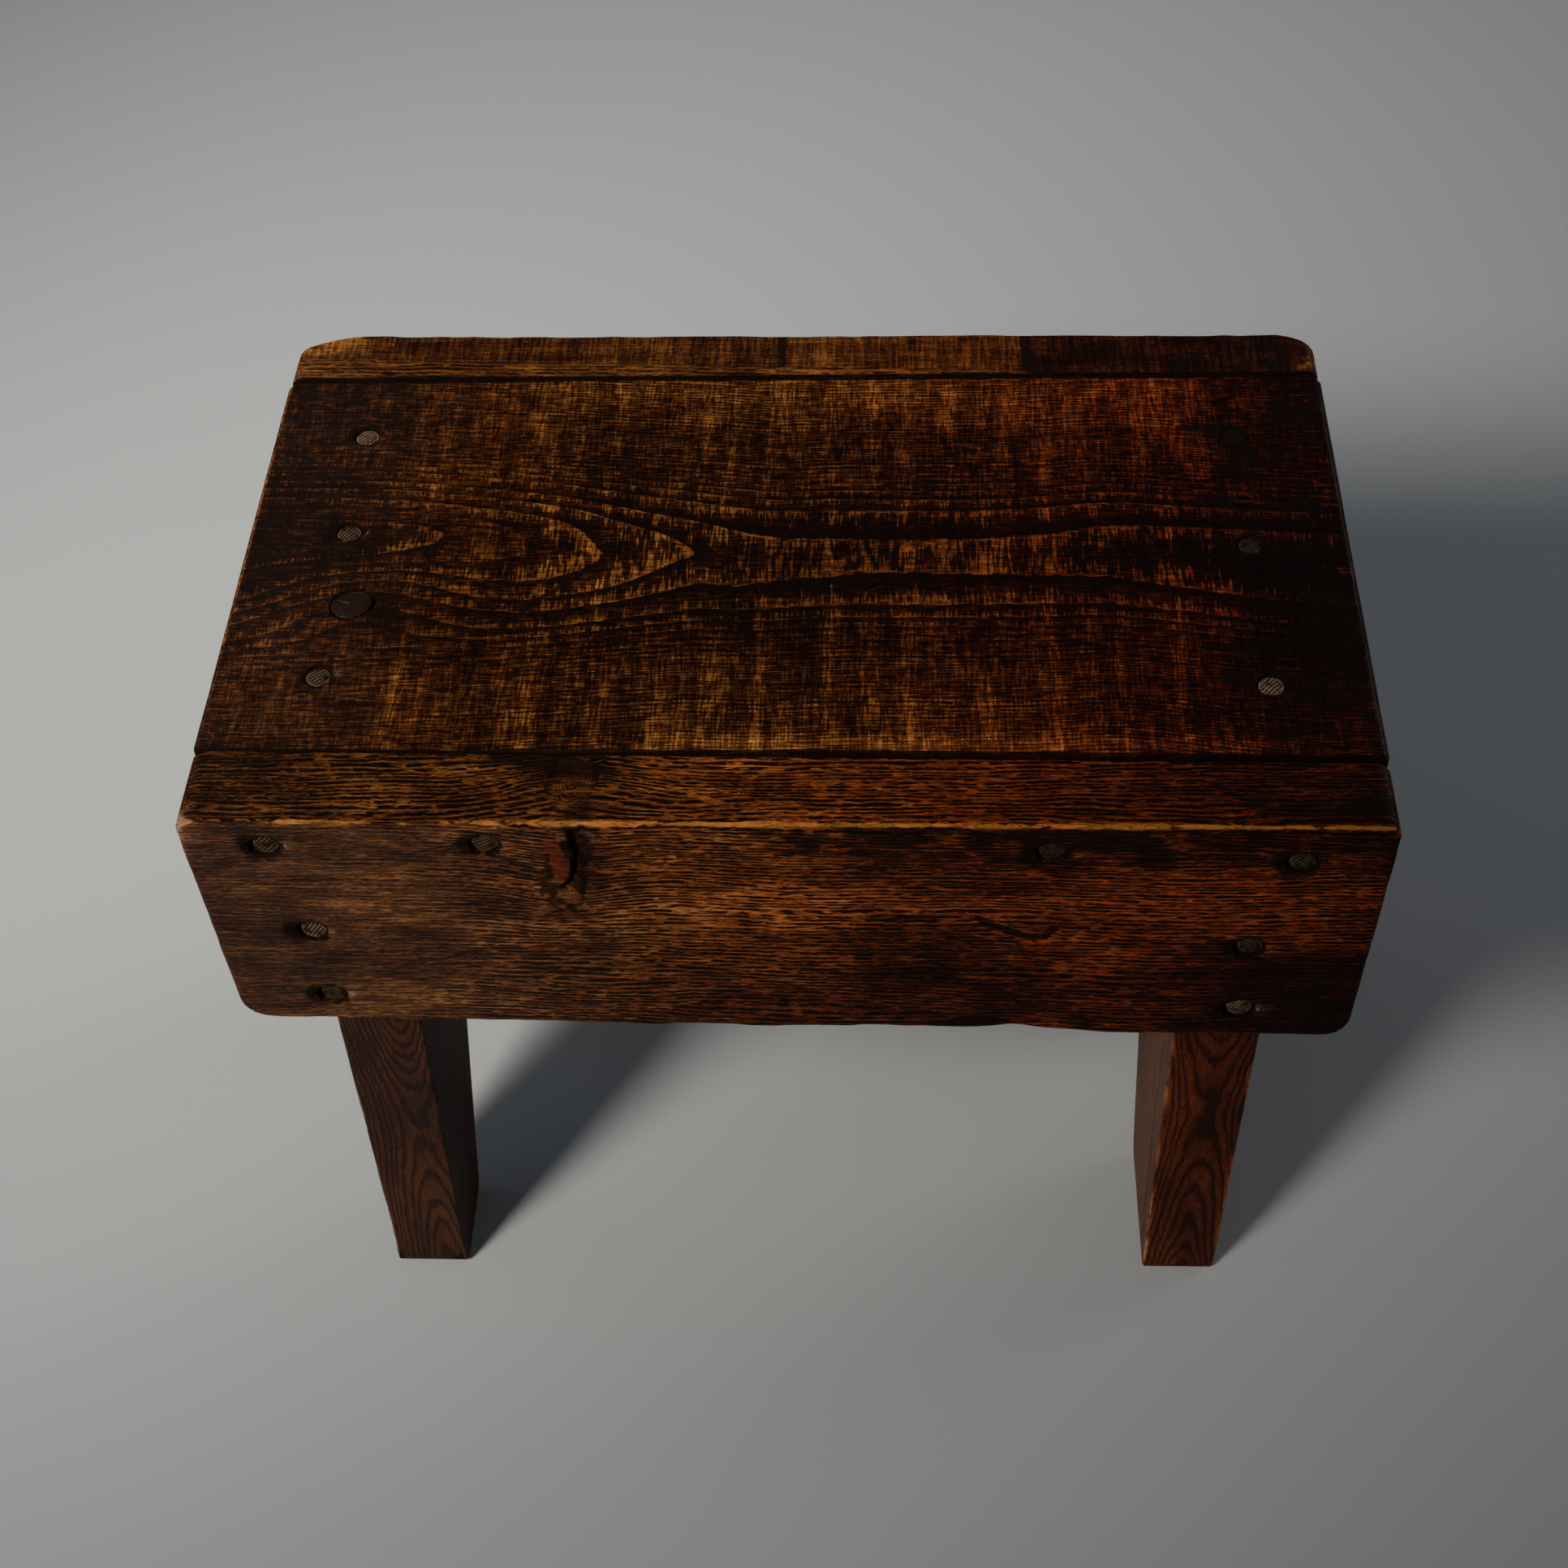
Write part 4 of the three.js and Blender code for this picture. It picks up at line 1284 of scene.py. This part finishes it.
def build_stool():
    groups = [TOP_NAILS, named(FRONT_NAILS, "upper"), named(BACK_NAILS, "upper")]
    seat, knot = seat_wood(), [knot_cutter()]
    finish_board(make_plank(), "seat_plank", seat, groups, plank_layers, knot)
    apron, leg, iron = apron_wood(), leg_wood(), nail_iron()
    finish_board(make_front(), "front_apron", apron, [FRONT_NAILS], front_layers)
    finish_board(make_back(), "back_apron", apron, [BACK_NAILS], back_layers)
    for name in LEGS:
        groups = [named(TOP_NAILS, name + "_")]
        for nails in (FRONT_NAILS, BACK_NAILS):
            groups.append(named(nails, "middle_" + name, "lower_" + name))
        layers = partial(leg_layers, name=name)
        finish_board(make_leg(name), name + "_leg", leg, groups, layers)
    make_knot(knot_wood())
    for k, node in enumerate(TOP_NAILS + FRONT_NAILS + BACK_NAILS):
        make_nail(node, iron, 300 + k)


# --- the studio, with its camera at the photograph's angle ---

CAMERA_PLACE = Vector((28.893, -585.251, 796.183)) * MM
CAMERA_DOWN, CAMERA_YAW, CAMERA_ROLL = (math.radians(a) for a in (47.045, 3.387, -2.189))
CAMERA_LENS = 57.23
FLOOR_COLOUR = (0.45, 0.46, 0.46, 1)
# Name, place and aim in metres, size, power, colour and spread in degrees
LIGHTS = (
    ("key", (-1.3053, -1.4013, 1.757), (-0.15, 0.5, 0), 0.7, 4.6, (1, 0.96, 0.9), 38),
    ("fill", (-1.9, 0.4, 1.3), (-0.2, 0.1, 0), 1.6, 1.0, (0.75, 0.88, 1), 110),
    ("far_fill", (2.1, 1.1, 0.4), (0.1, 0.05, 0.15), 1.2, 1.7, (1, 0.95, 0.88), 45),
)


def make_camera():
    camera = bpy.data.objects.new("camera", bpy.data.cameras.new("camera"))
    camera.data.lens = CAMERA_LENS
    turn = Matrix.Rotation(CAMERA_YAW, 4, "Z") @ Matrix.Rotation(math.pi / 2 - CAMERA_DOWN, 4, "X")
    turn = turn @ Matrix.Rotation(CAMERA_ROLL, 4, "Z")
    camera.matrix_world = Matrix.Translation(CAMERA_PLACE) @ turn
    bpy.context.collection.objects.link(camera)
    bpy.context.scene.camera = camera


def make_floor():
    bpy.ops.mesh.primitive_plane_add(size=12, location=(0, 0, 0))
    floor = bpy.context.object
    floor.name = "studio_floor"
    floor.data.materials.append(Shader("pale_floor").finish(FLOOR_COLOUR, 0.9, 0.2))


def make_lights():
    for name, place, target, size, power, colour, spread_degrees in LIGHTS:
        lamp = bpy.data.lights.new(name, "AREA")
        lamp.shape = "DISK"
        lamp.size = size
        lamp.energy = power
        lamp.color = colour
        lamp.spread = math.radians(spread_degrees)
        light = bpy.data.objects.new(name, lamp)
        light.location = place
        aim = Vector(target) - Vector(place)
        light.rotation_euler = aim.to_track_quat("-Z", "Y").to_euler()
        bpy.context.collection.objects.link(light)
    world = bpy.data.worlds.new("studio")
    bpy.context.scene.world = world
    world.use_nodes = True
    background = world.node_tree.nodes["Background"]
    background.inputs["Color"].default_value = (0.70, 0.82, 1.0, 1)
    background.inputs["Strength"].default_value = 0.10


build_stool()
make_floor()
make_lights()
make_camera()
bpy.context.scene.view_settings.view_transform = "Standard"
